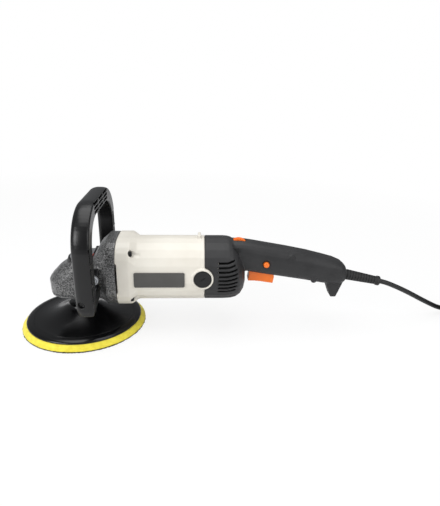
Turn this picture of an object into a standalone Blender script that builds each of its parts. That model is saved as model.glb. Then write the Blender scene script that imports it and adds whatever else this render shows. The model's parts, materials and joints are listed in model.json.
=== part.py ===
"""Rotary polisher with a 180 mm pad, a D-shaped front handle and a rear switch handle.

Metres, +Z up. The origin is the centre of the pad's working face, on the spindle's axis. +X runs
along the motor to the tail, and the trigger hand's thumb is on -Y.
"""

import math

import bmesh
import bpy
from mathutils import Matrix, Vector

MM = 0.001
CLEARANCE = 0.3 * MM  # between pieces that seat on each other
STEPS = 24  # facets of a round piece
FINE_STEPS = 36  # facets of the pad

# Pad
PAD_RADIUS = 90 * MM
PAD_TOP_RADIUS = 84 * MM
HOOK_THICKNESS = 1.6 * MM
FOAM_TOP = 9.4 * MM
PLATE_RIM_TOP = 12.4 * MM
GROOVE_RADIUS = 73 * MM
GROOVE_DEPTH = 0.6 * MM
HUB_RADIUS = 22 * MM
HUB_TOP = 34.3 * MM
INSERT_RADIUS = 12 * MM
INSERT_BOTTOM = 12.2 * MM
THREAD_RADIUS = 6.7 * MM

# Motor line
MOTOR_Z = 89.65 * MM
BARREL_RADIUS = 46.7 * MM
BARREL_WALL = 3.3 * MM
FLANGE_HALF_WIDTH = 47 * MM
FLANGE_HALF_HEIGHT = 49 * MM
FLANGE_SQUARENESS = 3.2  # superellipse exponent, 2 is round
JOINT_X = 57.35 * MM  # gear housing meets motor housing
FLANGE_END_X = 77.5 * MM
BARREL_START_X = 86 * MM
SEAM_X = 180.5 * MM  # motor housing meets rear handle
BRUSH_X = 177.5 * MM
CAGE_RADIUS = 40 * MM
CAGE_WALL = 3.5 * MM
CAGE_END_X = 200 * MM
CAGE_FLOOR_X = 196.5 * MM  # inside of the cage's end wall

# Gear head
HEAD_HALF_WIDTH = 33 * MM
HEAD_FRONT_X = -44.3 * MM
HEAD_FLOOR = 56.8 * MM
HEAD_TOP = 104 * MM
COVER_THICKNESS = 3.5 * MM
COVER_END_X = 32 * MM
CAP_END_X = 20.4 * MM
BEARING_BOX_BOTTOM = 44 * MM
CAVITY_RADIUS = 29 * MM
CAVITY_TOP = 91 * MM
BUSH_RADIUS = 6.5 * MM
BUSH_HEIGHT = 6 * MM
LUG_SEAT_Y = 42 * MM  # outer face of the side bosses
LUG_X = 28 * MM
LOCK_FLOOR_Y = 33.6 * MM  # bottom of the lock button's recess

# Gears
CROWN_TEETH = 35
PINION_TEETH = 8
TOOTH_MODULE = 1.4 * MM
TOOTH_LENGTH = 5 * MM
CROWN_FACE_Z = 82 * MM
CROWN_BOTTOM_Z = 70 * MM
LOCK_HOLES = 12
LOCK_Z = 76 * MM
LOCK_PIN_RADIUS = 2.8 * MM
LOCK_BUTTON_RADIUS = 7 * MM
LOCK_BOSS_RADIUS = 10 * MM
LOCK_TRAVEL = 4.5 * MM

# Spindle
JOURNAL_RADIUS = 7.2 * MM
SHOULDER_RADIUS = 12.5 * MM
SPINDLE_TOP_RADIUS = 3.9 * MM

# Armature
SHAFT_RADIUS = 5 * MM
CORE_RADIUS = 23.8 * MM
CORE_START_X = 92 * MM
CORE_LENGTH = 50 * MM
COIL_OVERHANG = 8 * MM
COMMUTATOR_RADIUS = 15 * MM
COMMUTATOR_LENGTH = 19 * MM
FAN_RADIUS = 37 * MM
FAN_X = 60 * MM
FAN_WIDTH = 10 * MM
FAN_BLADES = 12

# Rear handle
GRIP_WALL = 3 * MM
GRIP_SQUARENESS = 2.5
SHELL_GAP = 0.3 * MM
VENT_COUNT = 8
VENT_WIDTH = 2.6 * MM
VENT_PITCH = 6.7 * MM
TRIGGER_WIDTH = 16.4 * MM
TRIGGER_PIVOT = (0.2505, 0.0, 0.0885)
TRIGGER_FRONT_X = 245 * MM
TRIGGER_REAR_X = 283 * MM
DIAL_RADIUS = 14 * MM
DIAL_WIDTH = 9 * MM
DIAL_X = 230 * MM
DIAL_Z = 120.6 * MM
LOCK_ON_X = 269.5 * MM
LOCK_ON_Z = 101 * MM
LOCK_ON_RADIUS = 4.2 * MM
TAIL_X = 391 * MM

# D handle
LOOP_X = 24.6 * MM
LOOP_DEPTH = 24.5 * MM  # along X
LOOP_THICKNESS = 20 * MM
LOOP_HALF_SPAN = 83.3 * MM
LOOP_TOP = 199 * MM
LOOP_FOOT = 56 * MM
LOOP_CORNER = 50 * MM

# Cord
CORD_RADIUS = 3.75 * MM
CORD_PITCH = 7.8 * MM  # of the turns in the coil
BOOT_TILT = math.radians(12)
BOOT_START = Vector((389 * MM, 0, 78.2 * MM))
BOOT_LENGTH = 59 * MM
COIL_CENTRE = (608 * MM, -20 * MM)
COIL_MIDDLE_RADIUS = 37.5 * MM
COIL_COLUMNS = 3
COIL_LAYERS = 4
TIE_THICKNESS = 1 * MM
LEAD_ROUTE_MM = (
    (447.1, 0, 65.9), (456, 0, 63.8), (466, 0.3, 59.9), (479, 1.4, 54.0), (493, 3, 47.0), (507, 5.2, 39.3),
    (521, 8, 31.2), (535, 11.4, 23.3), (548, 15, 16.0), (559, 18.6, 10.4), (569.5, 21.6, 6.7), (579.4, 24.3, 5.2),
)
TAIL_ROUTE_MM = ((635.8, 24.9, 27.2), (646, 25.2, 24.6), (657, 26.6, 20.6), (668, 29.4, 16.2), (681, 31.4, 13.7))
PLUG_START = Vector((682.4 * MM, 31.5 * MM, 13.7 * MM))

CUT_PHASE = 0.37  # of a facet
AXIS_TURN = {"X": (0, math.pi / 2, 0), "Y": (-math.pi / 2, 0, 0), "Z": (0, 0, 0)}


# Scene and small tools


def clear_scene():
    for old in list(bpy.data.objects):
        bpy.data.objects.remove(old, do_unlink=True)


def new_collection(name):
    collection = bpy.data.collections.new(name)
    bpy.context.scene.collection.children.link(collection)
    return collection


clear_scene()
PARTS = new_collection("rotary_polisher")
CUTTERS = new_collection("cutters")


def principled(name, rgb, roughness, metallic=0.0):
    made = bpy.data.materials.new(name)
    made.use_nodes = True
    shader = made.node_tree.nodes["Principled BSDF"]
    shader.inputs["Base Color"].default_value = (*rgb, 1)
    shader.inputs["Roughness"].default_value = roughness
    shader.inputs["Metallic"].default_value = metallic
    made.diffuse_color = (*rgb, 1)
    return made


CREAM = principled("cream_abs", (0.83, 0.80, 0.73), 0.45)
GREY = principled("dark_grey_nylon", (0.07, 0.07, 0.07), 0.55)
BLACK = principled("black_nylon", (0.012, 0.012, 0.012), 0.4)
BLACK_RUBBER = principled("black_rubber", (0.012, 0.012, 0.012), 0.7)
ORANGE = principled("orange_abs", (0.87, 0.20, 0.01), 0.4)
YELLOW = principled("yellow_foam", (0.95, 0.85, 0.06), 0.85)
ENAMEL = principled("hammered_enamel", (0.12, 0.12, 0.125), 0.35, 0.5)
STEEL = principled("steel", (0.55, 0.55, 0.56), 0.3, 1.0)
ZINC = principled("zinc_plate", (0.75, 0.77, 0.80), 0.25, 1.0)
BRASS = principled("brass", (0.78, 0.57, 0.25), 0.3, 1.0)
COPPER = principled("copper", (0.80, 0.40, 0.25), 0.35, 1.0)
LAMINATION = principled("lamination_steel", (0.30, 0.30, 0.32), 0.5, 1.0)
CARBON = principled("carbon", (0.02, 0.02, 0.02), 0.6)
BADGE_GREY = principled("badge_grey", (0.065, 0.063, 0.06), 0.4)


def place(name, mesh, material, centre=(0, 0, 0), turn=(0, 0, 0), helper=False):
    """An object for this mesh. A helper cuts or joins others and isn't a piece."""
    made = bpy.data.objects.new(name, mesh)
    made.location = centre
    made.rotation_euler = turn
    (CUTTERS if helper else PARTS).objects.link(made)
    if helper:
        made.hide_render = True
        made.display_type = "WIRE"
    if material is not None:
        mesh.materials.clear()
        mesh.materials.append(material)
    return made


def smooth(mesh, degrees=35):
    mesh.shade_smooth()
    mesh.set_sharp_from_angle(angle=math.radians(degrees))


def turned(name, profile, material=None, centre=(0, 0, 0), axis="Z", steps=STEPS, turn=None, helper=False, phase=0):
    """A turned piece. profile holds (radius, height) points that run down the outer side, and either
    starts and ends on the axis or closes on itself. phase turns its facets, in facets."""
    solid_centre = profile[0][0] == 0
    mesh = bpy.data.meshes.new(name)
    angle = 2 * math.pi * phase / steps
    corners = [(radius * math.cos(angle), radius * math.sin(angle), height) for radius, height in profile]
    edges = [(i, i + 1) for i in range(len(corners) - 1)]
    if not solid_centre:
        edges.append((len(corners) - 1, 0))
    mesh.from_pydata(corners, edges, [])
    made = place(name, mesh, material, centre, turn or AXIS_TURN[axis], helper)
    screw = made.modifiers.new("turn", "SCREW")
    screw.axis = "Z"
    screw.steps = screw.render_steps = steps
    screw.use_merge_vertices = True
    screw.merge_threshold = 1e-5
    screw.use_smooth_shade = False
    return made


def rod(name, radius, start, end, centre, axis, material=None, steps=STEPS, helper=True):
    """A plain cylinder between two distances along its axis."""
    profile = [(0, end), (radius, end), (radius, start), (0, start)]
    return turned(name, profile, material, centre, axis, steps, helper=helper)


def drill(target, radius, start, end, centre, axis, steps=STEPS):
    """A plain hole. Its facets stand off those of what it goes through."""
    profile = [(0, end), (radius, end), (radius, start), (0, start)]
    boolean(target, turned("drill", profile, None, centre, axis, steps, helper=True, phase=CUT_PHASE))


def block(name, low, high, material=None, bevel=0.0, helper=True):
    """A box between two corners."""
    bm = bmesh.new()
    bmesh.ops.create_cube(bm, size=1)
    size = Vector(high) - Vector(low)
    bmesh.ops.scale(bm, vec=size, verts=bm.verts)
    if bevel:
        bmesh.ops.bevel(bm, geom=bm.edges, offset=bevel, segments=2, profile=0.5, affect="EDGES")
    mesh = bpy.data.meshes.new(name)
    bm.to_mesh(mesh)
    bm.free()
    return place(name, mesh, material, (Vector(low) + Vector(high)) / 2, helper=helper)


def flat(name, outline, low, high, axis="Y", material=None, helper=True):
    """A flat outline with a thickness, from low to high along axis. On Y its points are (x, z), on X
    (y, z) and on Z (x, y)."""
    curve = bpy.data.curves.new(name, "CURVE")
    curve.dimensions = "2D"
    curve.fill_mode = "BOTH"
    curve.extrude = (high - low) / 2
    spline = curve.splines.new("POLY")
    spline.points.add(len(outline) - 1)
    for point, (across, up) in zip(spline.points, outline):
        point.co = (across, up, 0, 1)
    spline.use_cyclic_u = True
    drawn = bpy.data.objects.new(name + "_outline", curve)
    CUTTERS.objects.link(drawn)
    stand = {
        "X": Matrix(((0, 0, 1, 0), (1, 0, 0, 0), (0, 1, 0, 0), (0, 0, 0, 1))),
        "Y": Matrix(((1, 0, 0, 0), (0, 0, -1, 0), (0, 1, 0, 0), (0, 0, 0, 1))),
        "Z": Matrix.Identity(4),
    }[axis]
    middle = (low + high) / 2
    offset = {"X": (middle, 0, 0), "Y": (0, middle, 0), "Z": (0, 0, middle)}[axis]
    drawn.matrix_world = Matrix.Translation(offset) @ stand
    return solidified(drawn, name, material, helper)


def solidified(drawn, name, material, helper=False):
    """The curve object as a welded mesh object."""
    bpy.context.view_layer.update()
    graph = bpy.context.evaluated_depsgraph_get()
    mesh = bpy.data.meshes.new_from_object(drawn.evaluated_get(graph))
    world = drawn.matrix_world.copy()
    bpy.data.objects.remove(drawn)
    bm = bmesh.new()
    bm.from_mesh(mesh)
    bmesh.ops.remove_doubles(bm, verts=bm.verts, dist=1e-6)
    bmesh.ops.recalc_face_normals(bm, faces=bm.faces)
    bm.to_mesh(mesh)
    bm.free()
    made = place(name, mesh, material, helper=helper)
    made.matrix_world = world
    return made


def loft(name, rings, material=None, helper=True):
    """A closed skin over rings that have the same number of points."""
    bm = bmesh.new()
    loops = [[bm.verts.new(point) for point in ring] for ring in rings]
    count = len(rings[0])
    for first, second in zip(loops, loops[1:]):
        for i in range(count):
            j = (i + 1) % count
            bm.faces.new((first[i], first[j], second[j], second[i]))
    bm.faces.new(loops[0][::-1])
    bm.faces.new(loops[-1])
    bmesh.ops.triangulate(bm, faces=bm.faces)
    bmesh.ops.recalc_face_normals(bm, faces=bm.faces)
    mesh = bpy.data.meshes.new(name)
    bm.to_mesh(mesh)
    bm.free()
    return place(name, mesh, material, helper=helper)


def boolean(target, tool, operation="DIFFERENCE"):
    modifier = target.modifiers.new(tool.name, "BOOLEAN")
    modifier.operation = operation
    modifier.solver = "EXACT"
    modifier.object = tool


def finished(target, name, material):
    """A piece with the target's evaluated shape, in world space."""
    bpy.context.view_layer.update()
    graph = bpy.context.evaluated_depsgraph_get()
    mesh = bpy.data.meshes.new_from_object(target.evaluated_get(graph))
    mesh.transform(target.matrix_world)
    return place(name, mesh, material)


def pivot(name, point):
    """An empty on a joint's axis, for the pieces that move with it."""
    made = bpy.data.objects.new(name, None)
    made.location = point
    PARTS.objects.link(made)
    return made


def carry(empty, *pieces):
    for piece in pieces:
        piece.parent = empty
        piece.matrix_parent_inverse = Matrix.Translation(empty.location).inverted()


def superellipse(half_width, half_height, exponent, count=STEPS, phase=0.5):
    """(across, up) points round a rounded square."""
    points = []
    for i in range(count):
        angle = 2 * math.pi * (i + phase) / count
        across, up = math.cos(angle), math.sin(angle)
        power = 2 / exponent
        points.append((
            half_width * math.copysign(abs(across) ** power, across),
            half_height * math.copysign(abs(up) ** power, up),
        ))
    return points


def cross_section(x, half_width, bottom, top, exponent, count=STEPS, phase=0.5):
    """A rounded-square ring across the motor line at x."""
    middle = (bottom + top) / 2
    outline = superellipse(half_width, (top - bottom) / 2, exponent, count, phase)
    return [(x, across, middle + up) for across, up in outline]


def helix(name, radius, wire, turns, length, centre, axis, material):
    """A compression spring, as a wire round its axis."""
    curve = bpy.data.curves.new(name, "CURVE")
    curve.dimensions = "3D"
    curve.bevel_depth = wire
    curve.bevel_resolution = 0
    curve.use_fill_caps = True
    spline = curve.splines.new("POLY")
    per_turn = 9
    count = int(turns * per_turn) + 1
    spline.points.add(count - 1)
    for i, point in enumerate(spline.points):
        angle = 2 * math.pi * i / per_turn
        height = length * i / (count - 1)
        point.co = (radius * math.cos(angle), radius * math.sin(angle), height, 1)
    drawn = bpy.data.objects.new(name + "_wire", curve)
    CUTTERS.objects.link(drawn)
    drawn.location = centre
    drawn.rotation_euler = AXIS_TURN[axis]
    return solidified(drawn, name, material)


def ring_profile(inner, outer, start, end, bevel=0.0):
    """The closed profile of a plain ring, with its outer corners taken off by bevel."""
    if not bevel:
        return [(outer, end), (outer, start), (inner, start), (inner, end)]
    return [
        (outer - bevel, end), (outer, end - bevel), (outer, start + bevel), (outer - bevel, start),
        (inner, start), (inner, end),
    ]


# Pad and spindle


def make_pad():
    hook = turned("pad_hook_layer", [
        (0, HOOK_THICKNESS), (PAD_RADIUS - 0.6 * MM, HOOK_THICKNESS), (PAD_RADIUS - 0.6 * MM, 0), (0, 0),
    ], BLACK, steps=FINE_STEPS)
    foam_bottom = HOOK_THICKNESS + CLEARANCE
    foam_middle = (foam_bottom + FOAM_TOP) / 2
    foam = turned("pad_foam", [
        (0, FOAM_TOP), (PAD_TOP_RADIUS, FOAM_TOP), (PAD_TOP_RADIUS + 0.62 * (PAD_RADIUS - PAD_TOP_RADIUS), foam_middle),
        (PAD_RADIUS, foam_bottom + 0.5 * MM), (PAD_RADIUS, foam_bottom), (0, foam_bottom),
    ], YELLOW, steps=FINE_STEPS)
    plate_bottom = FOAM_TOP + CLEARANCE
    seat = INSERT_BOTTOM - CLEARANCE
    bore = INSERT_RADIUS + CLEARANCE
    groove_half = 0.8 * MM
    slope_end = PLATE_RIM_TOP + 1.8 * MM
    profile = [(0, seat), (bore, seat), (bore, HUB_TOP), (HUB_RADIUS - 3 * MM, HUB_TOP), (HUB_RADIUS, HUB_TOP - 2 * MM)]
    rise = HUB_TOP - 2 * MM - slope_end
    for i in range(1, 4):
        share = i / 4
        radius = HUB_RADIUS + share * (GROOVE_RADIUS - groove_half - HUB_RADIUS)
        profile.append((radius, slope_end + rise * (1 - share) ** 2.2))
    profile += [
        (GROOVE_RADIUS - groove_half, slope_end), (GROOVE_RADIUS, slope_end - GROOVE_DEPTH),
        (GROOVE_RADIUS + groove_half, slope_end - 0.1 * MM),
        (PAD_TOP_RADIUS - 2.2 * MM, PLATE_RIM_TOP), (PAD_TOP_RADIUS - 0.4 * MM, PLATE_RIM_TOP - 0.9 * MM),
        (PAD_TOP_RADIUS - 0.4 * MM, plate_bottom), (0, plate_bottom),
    ]
    plate = turned("pad_plate", profile, BLACK, steps=FINE_STEPS)
    insert = turned("pad_insert", ring_profile(THREAD_RADIUS + CLEARANCE, INSERT_RADIUS, INSERT_BOTTOM,
                                               HUB_TOP - CLEARANCE), STEEL)
    return hook, foam, plate, insert


def make_spindle():
    shoulder_bottom = HUB_TOP + CLEARANCE
    shoulder_top = shoulder_bottom + 8 * MM
    journal_start = HEAD_FLOOR - 0.2 * MM
    hub_seat = CROWN_BOTTOM_Z - 0.8 * MM
    top = CAVITY_TOP + BUSH_HEIGHT + 0.7 * MM
    spindle = turned("spindle", [
        (0, top), (SPINDLE_TOP_RADIUS, top), (SPINDLE_TOP_RADIUS, CAVITY_TOP - 3 * MM),
        (JOURNAL_RADIUS + 0.3 * MM, CAVITY_TOP - 5 * MM), (JOURNAL_RADIUS + 0.3 * MM, hub_seat),
        (JOURNAL_RADIUS, hub_seat), (JOURNAL_RADIUS, journal_start), (10 * MM, journal_start),
        (10 * MM, shoulder_top), (SHOULDER_RADIUS, shoulder_top), (SHOULDER_RADIUS, shoulder_bottom),
        (THREAD_RADIUS, shoulder_bottom), (THREAD_RADIUS, INSERT_BOTTOM + 0.4 * MM), (0, INSERT_BOTTOM + 0.4 * MM),
    ], STEEL)
    flat_reach = SHOULDER_RADIUS + 2 * MM
    for side in (-1, 1):
        near, far = sorted((side * 11 * MM, side * 15 * MM))
        across_flats = block("spindle_flat", (-flat_reach, near, shoulder_bottom + 1 * MM),
                             (flat_reach, far, shoulder_top - 1 * MM))
        boolean(spindle, across_flats)
    return spindle


def tooth_mesh(name, count, make_tooth):
    """Separate teeth in one helper mesh. make_tooth gives the eight corners of tooth i."""
    bm = bmesh.new()
    for i in range(count):
        cube = bmesh.ops.create_cube(bm, size=1)
        for vert in cube["verts"]:
            vert.co = make_tooth(i, *(coordinate > 0 for coordinate in vert.co))
    bmesh.ops.recalc_face_normals(bm, faces=bm.faces)
    mesh = bpy.data.meshes.new(name)
    bm.to_mesh(mesh)
    bm.free()
    return place(name, mesh, None, helper=True)


def make_crown_gear():
    pitch_radius = CROWN_TEETH * TOOTH_MODULE / 2
    inner = pitch_radius - TOOTH_LENGTH / 2
    outer = pitch_radius + TOOTH_LENGTH / 2
    bore = JOURNAL_RADIUS + 2 * CLEARANCE
    hub_bottom = CROWN_BOTTOM_Z - 0.7 * MM
    gear = turned("crown_gear", [
        (outer, CROWN_FACE_Z), (outer, CROWN_BOTTOM_Z), (bore + 2.5 * MM, CROWN_BOTTOM_Z),
        (bore + 2.5 * MM, hub_bottom), (bore, hub_bottom), (bore, CROWN_FACE_Z),
    ], STEEL, steps=CROWN_TEETH, phase=0.3)
    root = MOTOR_Z - PINION_TEETH * TOOTH_MODULE / 2 - 0.75 * TOOTH_MODULE - 1 * MM
    tip = MOTOR_Z - PINION_TEETH * TOOTH_MODULE / 2 + 0.75 * TOOTH_MODULE

    def corner(i, across, out, up):
        radius = (outer - 0.2 * MM if out else inner)
        share = radius / pitch_radius
        half = (0.5 if up else 1.15) * MM * share
        angle = 2 * math.pi * i / CROWN_TEETH
        height = tip if up else min(root, CROWN_FACE_Z - 0.6 * MM)
        side = half if across else -half
        return (
            radius * math.cos(angle) - side * math.sin(angle), radius * math.sin(angle) + side * math.cos(angle), height
        )

    boolean(gear, tooth_mesh("crown_teeth", CROWN_TEETH, corner), "UNION")
    hole = LOCK_PIN_RADIUS + 0.4 * MM
    profile = [(0, outer + 2 * MM), (hole, outer + 2 * MM), (hole, outer - 5.5 * MM), (0, outer - 5.5 * MM)]
    for i in range(LOCK_HOLES):
        turn = (0, math.pi / 2, 2 * math.pi * i / LOCK_HOLES)
        boolean(gear, turned("lock_hole", profile, None, (0, 0, LOCK_Z), steps=7, turn=turn, helper=True))
    return gear


# Gear head


def head_ring(z, front, half_width, rear=30 * MM, segments=10):
    """The head's plan outline at height z: a half-round nose and straight sides."""
    middle = front + half_width
    ring = [(rear, half_width, z)]
    for i in range(segments + 1):
        angle = math.pi / 2 + math.pi * i / segments
        ring.append((middle + half_width * math.cos(angle), half_width * math.sin(angle), z))
    ring.append((rear, -half_width, z))
    return ring


def make_gear_housing():
    width = HEAD_HALF_WIDTH
    front = HEAD_FRONT_X
    head = loft("gear_housing_head", [
        head_ring(HEAD_FLOOR - 3 * MM, front, width), head_ring(HEAD_TOP - 28.6 * MM, front - 0.5 * MM, width + 0.3 * MM),
        head_ring(HEAD_TOP - 21 * MM, front + 5 * MM, width - 1 * MM),
        head_ring(HEAD_TOP - 10 * MM, front + 15.5 * MM, width - 2.5 * MM),
        head_ring(HEAD_TOP - 4 * MM, front + 24 * MM, width - 4 * MM),
        head_ring(HEAD_TOP, front + 27.8 * MM, width - 4.5 * MM),
    ])
    middle = MOTOR_Z
    square = FLANGE_SQUARENESS
    wide, high = FLANGE_HALF_WIDTH, FLANGE_HALF_HEIGHT
    shoulder = loft("gear_housing_shoulder", [
        cross_section(CAP_END_X + 0.3 * MM, width - 5 * MM, HEAD_FLOOR - 1 * MM, HEAD_TOP - 2 * MM, 4),
        cross_section(CAP_END_X + 0.8 * MM, width - 2 * MM, HEAD_FLOOR - 2 * MM, HEAD_TOP + 4.5 * MM, 4),
        cross_section(33 * MM, wide - 7 * MM, middle - high + 8 * MM, middle + high - 10 * MM, 3.6),
        cross_section(41 * MM, wide - 2.5 * MM, middle - high + 2.5 * MM, middle + high - 2.5 * MM, square),
        cross_section(43.5 * MM, wide, middle - high, middle + high, square),
        cross_section(JOINT_X - CLEARANCE / 2, wide, middle - high, middle + high, square),
    ])
    pieces = [shoulder]
    for side in (-1, 1):
        near, far = sorted((side * (width - 6 * MM), side * LUG_SEAT_Y))
        pieces.append(block("lug_boss", (13 * MM, near, MOTOR_Z - 11 * MM), (42 * MM, far, HEAD_TOP + 0.5 * MM),
                            bevel=2 * MM))
    pieces.append(rod("lock_boss", LOCK_BOSS_RADIUS, width - 3 * MM, LUG_SEAT_Y, (0, 0, LOCK_Z), "Y", steps=24))
    for piece in pieces:
        boolean(head, piece, "UNION")
    cover_end = COVER_END_X + CLEARANCE
    boolean(head, block("cover_seat", (-80 * MM, -80 * MM, HEAD_FLOOR - 30 * MM), (cover_end, 80 * MM, HEAD_FLOOR)))
    bush_top = CAVITY_TOP + BUSH_HEIGHT + 0.9 * MM
    boolean(head, turned("gear_cavity", [
        (0, bush_top), (BUSH_RADIUS + CLEARANCE, bush_top), (BUSH_RADIUS + CLEARANCE, CAVITY_TOP),
        (CAVITY_RADIUS, CAVITY_TOP), (CAVITY_RADIUS, HEAD_FLOOR - 5 * MM), (0, HEAD_FLOOR - 5 * MM),
    ], helper=True, phase=CUT_PHASE))
    boolean(head, turned("motor_cavity", [
        (0, 60 * MM), (36 * MM, 60 * MM), (36 * MM, 46 * MM), (16.3 * MM, 46 * MM), (16.3 * MM, 31.7 * MM),
        (9 * MM, 31.7 * MM), (9 * MM, 5 * MM), (0, 5 * MM),
    ], None, (0, 0, MOTOR_Z), "X", helper=True, phase=CUT_PHASE))
    recess = LOCK_BUTTON_RADIUS + 0.4 * MM
    pin = LOCK_PIN_RADIUS + CLEARANCE
    boolean(head, turned("lock_recess", [
        (0, LUG_SEAT_Y + 2 * MM), (recess, LUG_SEAT_Y + 2 * MM), (recess, LOCK_FLOOR_Y), (pin, LOCK_FLOOR_Y),
        (pin, CAVITY_RADIUS - 4 * MM), (0, CAVITY_RADIUS - 4 * MM),
    ], None, (0, 0, LOCK_Z), "Y", steps=24, helper=True, phase=CUT_PHASE))
    for side in (-1, 1):
        start, end = sorted((side * (LUG_SEAT_Y - 9 * MM), side * (LUG_SEAT_Y + 2 * MM)))
        drill(head, 4.3 * MM, start, end, (LUG_X, 0, MOTOR_Z), "Y", steps=16)
    for across, up in flange_screws():
        drill(head, 2.4 * MM, 44.7 * MM, 60 * MM, (0, across, MOTOR_Z + up), "X", steps=12)
    for x, y in cover_screws():
        drill(head, 2.1 * MM, HEAD_FLOOR - 1 * MM, HEAD_FLOOR + 10 * MM, (x, y, 0), "Z", steps=12)
    return finished(head, "gear_housing", ENAMEL)


def flange_screws():
    """(y, z) of the four long screws, from the motor's axis."""
    across = FLANGE_HALF_WIDTH - 10.3 * MM
    up = FLANGE_HALF_HEIGHT - 15 * MM
    return [(y, z) for y in (-across, across) for z in (-up, up)]


def cover_screws():
    """(x, y) of the four screws under the head, outside its gear cavity."""
    reach = CAVITY_RADIUS + 3.2 * MM
    return [(reach * math.cos(a), reach * math.sin(a)) for a in map(math.radians, (45, 152, 208, 315))]


def make_head_pieces():
    cover_top = HEAD_FLOOR - CLEARANCE
    cover_bottom = cover_top - COVER_THICKNESS
    outline = [(x, y) for x, y, _ in head_ring(0, HEAD_FRONT_X + 0.3 * MM, HEAD_HALF_WIDTH - 0.3 * MM, COVER_END_X)]
    cover = flat("bearing_cover_plate", outline, cover_bottom, cover_top, "Z")
    seat = 17.5 * MM + CLEARANCE
    bearing_start = cover_top + 0.5 * MM
    cup_top = bearing_start + 10.5 * MM
    cup = turned("bearing_cup", [
        (0, cup_top), (24 * MM, cup_top), (24 * MM, cover_bottom + 1 * MM), (21 * MM, cover_bottom + 1 * MM),
        (20 * MM, BEARING_BOX_BOTTOM), (0, BEARING_BOX_BOTTOM),
    ], helper=True)
    boolean(cover, cup, "UNION")
    boolean(cover, turned("bearing_seat", [
        (0, cup_top + 2 * MM), (seat, cup_top + 2 * MM), (seat, bearing_start), (10.5 * MM, bearing_start),
        (10.5 * MM, BEARING_BOX_BOTTOM - 2 * MM), (0, BEARING_BOX_BOTTOM - 2 * MM),
    ], helper=True, phase=CUT_PHASE))
    for x, y in cover_screws():
        drill(cover, 2.3 * MM, cover_bottom - 3 * MM, cover_top + 1 * MM, (x, y, 0), "Z", steps=12)
    finished(cover, "bearing_cover", ENAMEL)
    for number, (x, y) in enumerate(cover_screws(), 1):
        head_top = cover_bottom - CLEARANCE
        turned(f"cover_screw_{number}", [
            (0, HEAD_FLOOR + 8 * MM), (1.8 * MM, HEAD_FLOOR + 8 * MM), (1.8 * MM, head_top), (3.6 * MM, head_top),
            (3.6 * MM, head_top - 2 * MM), (2.8 * MM, head_top - 2.8 * MM), (0, head_top - 2.8 * MM),
        ], BLACK, (x, y, 0), steps=12)
    bearing_low = bearing_start + CLEARANCE
    bearing("lower_bearing", JOURNAL_RADIUS + CLEARANCE, 17.5 * MM, bearing_low, bearing_low + 11 * MM, "Z", 0)
    turned("top_bush", ring_profile(SPINDLE_TOP_RADIUS + CLEARANCE, BUSH_RADIUS, CAVITY_TOP,
                                    CAVITY_TOP + BUSH_HEIGHT), BRASS, steps=24)
    cap_low = HEAD_TOP + 0.6 * MM
    cap_front = HEAD_FRONT_X + 28.2 * MM
    cap_half = HEAD_HALF_WIDTH - 4.7 * MM
    cap_end = CAP_END_X
    loft("head_cap", [
        head_ring(cap_low, cap_front, cap_half, cap_end), head_ring(cap_low + 2.6 * MM, cap_front, cap_half, cap_end),
        head_ring(cap_low + 3.8 * MM, cap_front + 1.2 * MM, cap_half - 1.2 * MM, cap_end),
    ], BLACK, helper=False)


def bearing(name, inner, outer, start, end, axis, height):
    """A shielded ball bearing as one ring, with its upper shield set back between the races."""
    shield = 0.6 * MM
    inner_race = inner + 0.22 * (outer - inner)
    outer_race = outer - 0.22 * (outer - inner)
    profile = [
        (outer, end), (outer, start), (inner, start), (inner, end), (inner_race, end), (inner_race, end - shield),
        (outer_race, end - shield), (outer_race, end),
    ]
    return turned(name, profile, STEEL, (0, 0, height), axis, steps=18)


def make_spindle_lock():
    outer = LUG_SEAT_Y + LOCK_TRAVEL + 0.7 * MM
    inner = outer - 6.6 * MM
    tip = CAVITY_RADIUS - 0.6 * MM
    turned("spindle_lock_button", [
        (0, outer), (LOCK_BUTTON_RADIUS - 1.2 * MM, outer), (LOCK_BUTTON_RADIUS, outer - 1.2 * MM),
        (LOCK_BUTTON_RADIUS, inner), (LOCK_PIN_RADIUS, inner), (LOCK_PIN_RADIUS, tip + 0.8 * MM),
        (LOCK_PIN_RADIUS - 0.8 * MM, tip), (0, tip),
    ], BLACK, (0, 0, LOCK_Z), "Y", steps=24)
    wire = 0.45 * MM
    start = LOCK_FLOOR_Y + CLEARANCE + wire
    helix("spindle_lock_spring", 5 * MM, wire, 4, inner - CLEARANCE - wire - start, (0, start, LOCK_Z), "Y", STEEL)


# Motor


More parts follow.
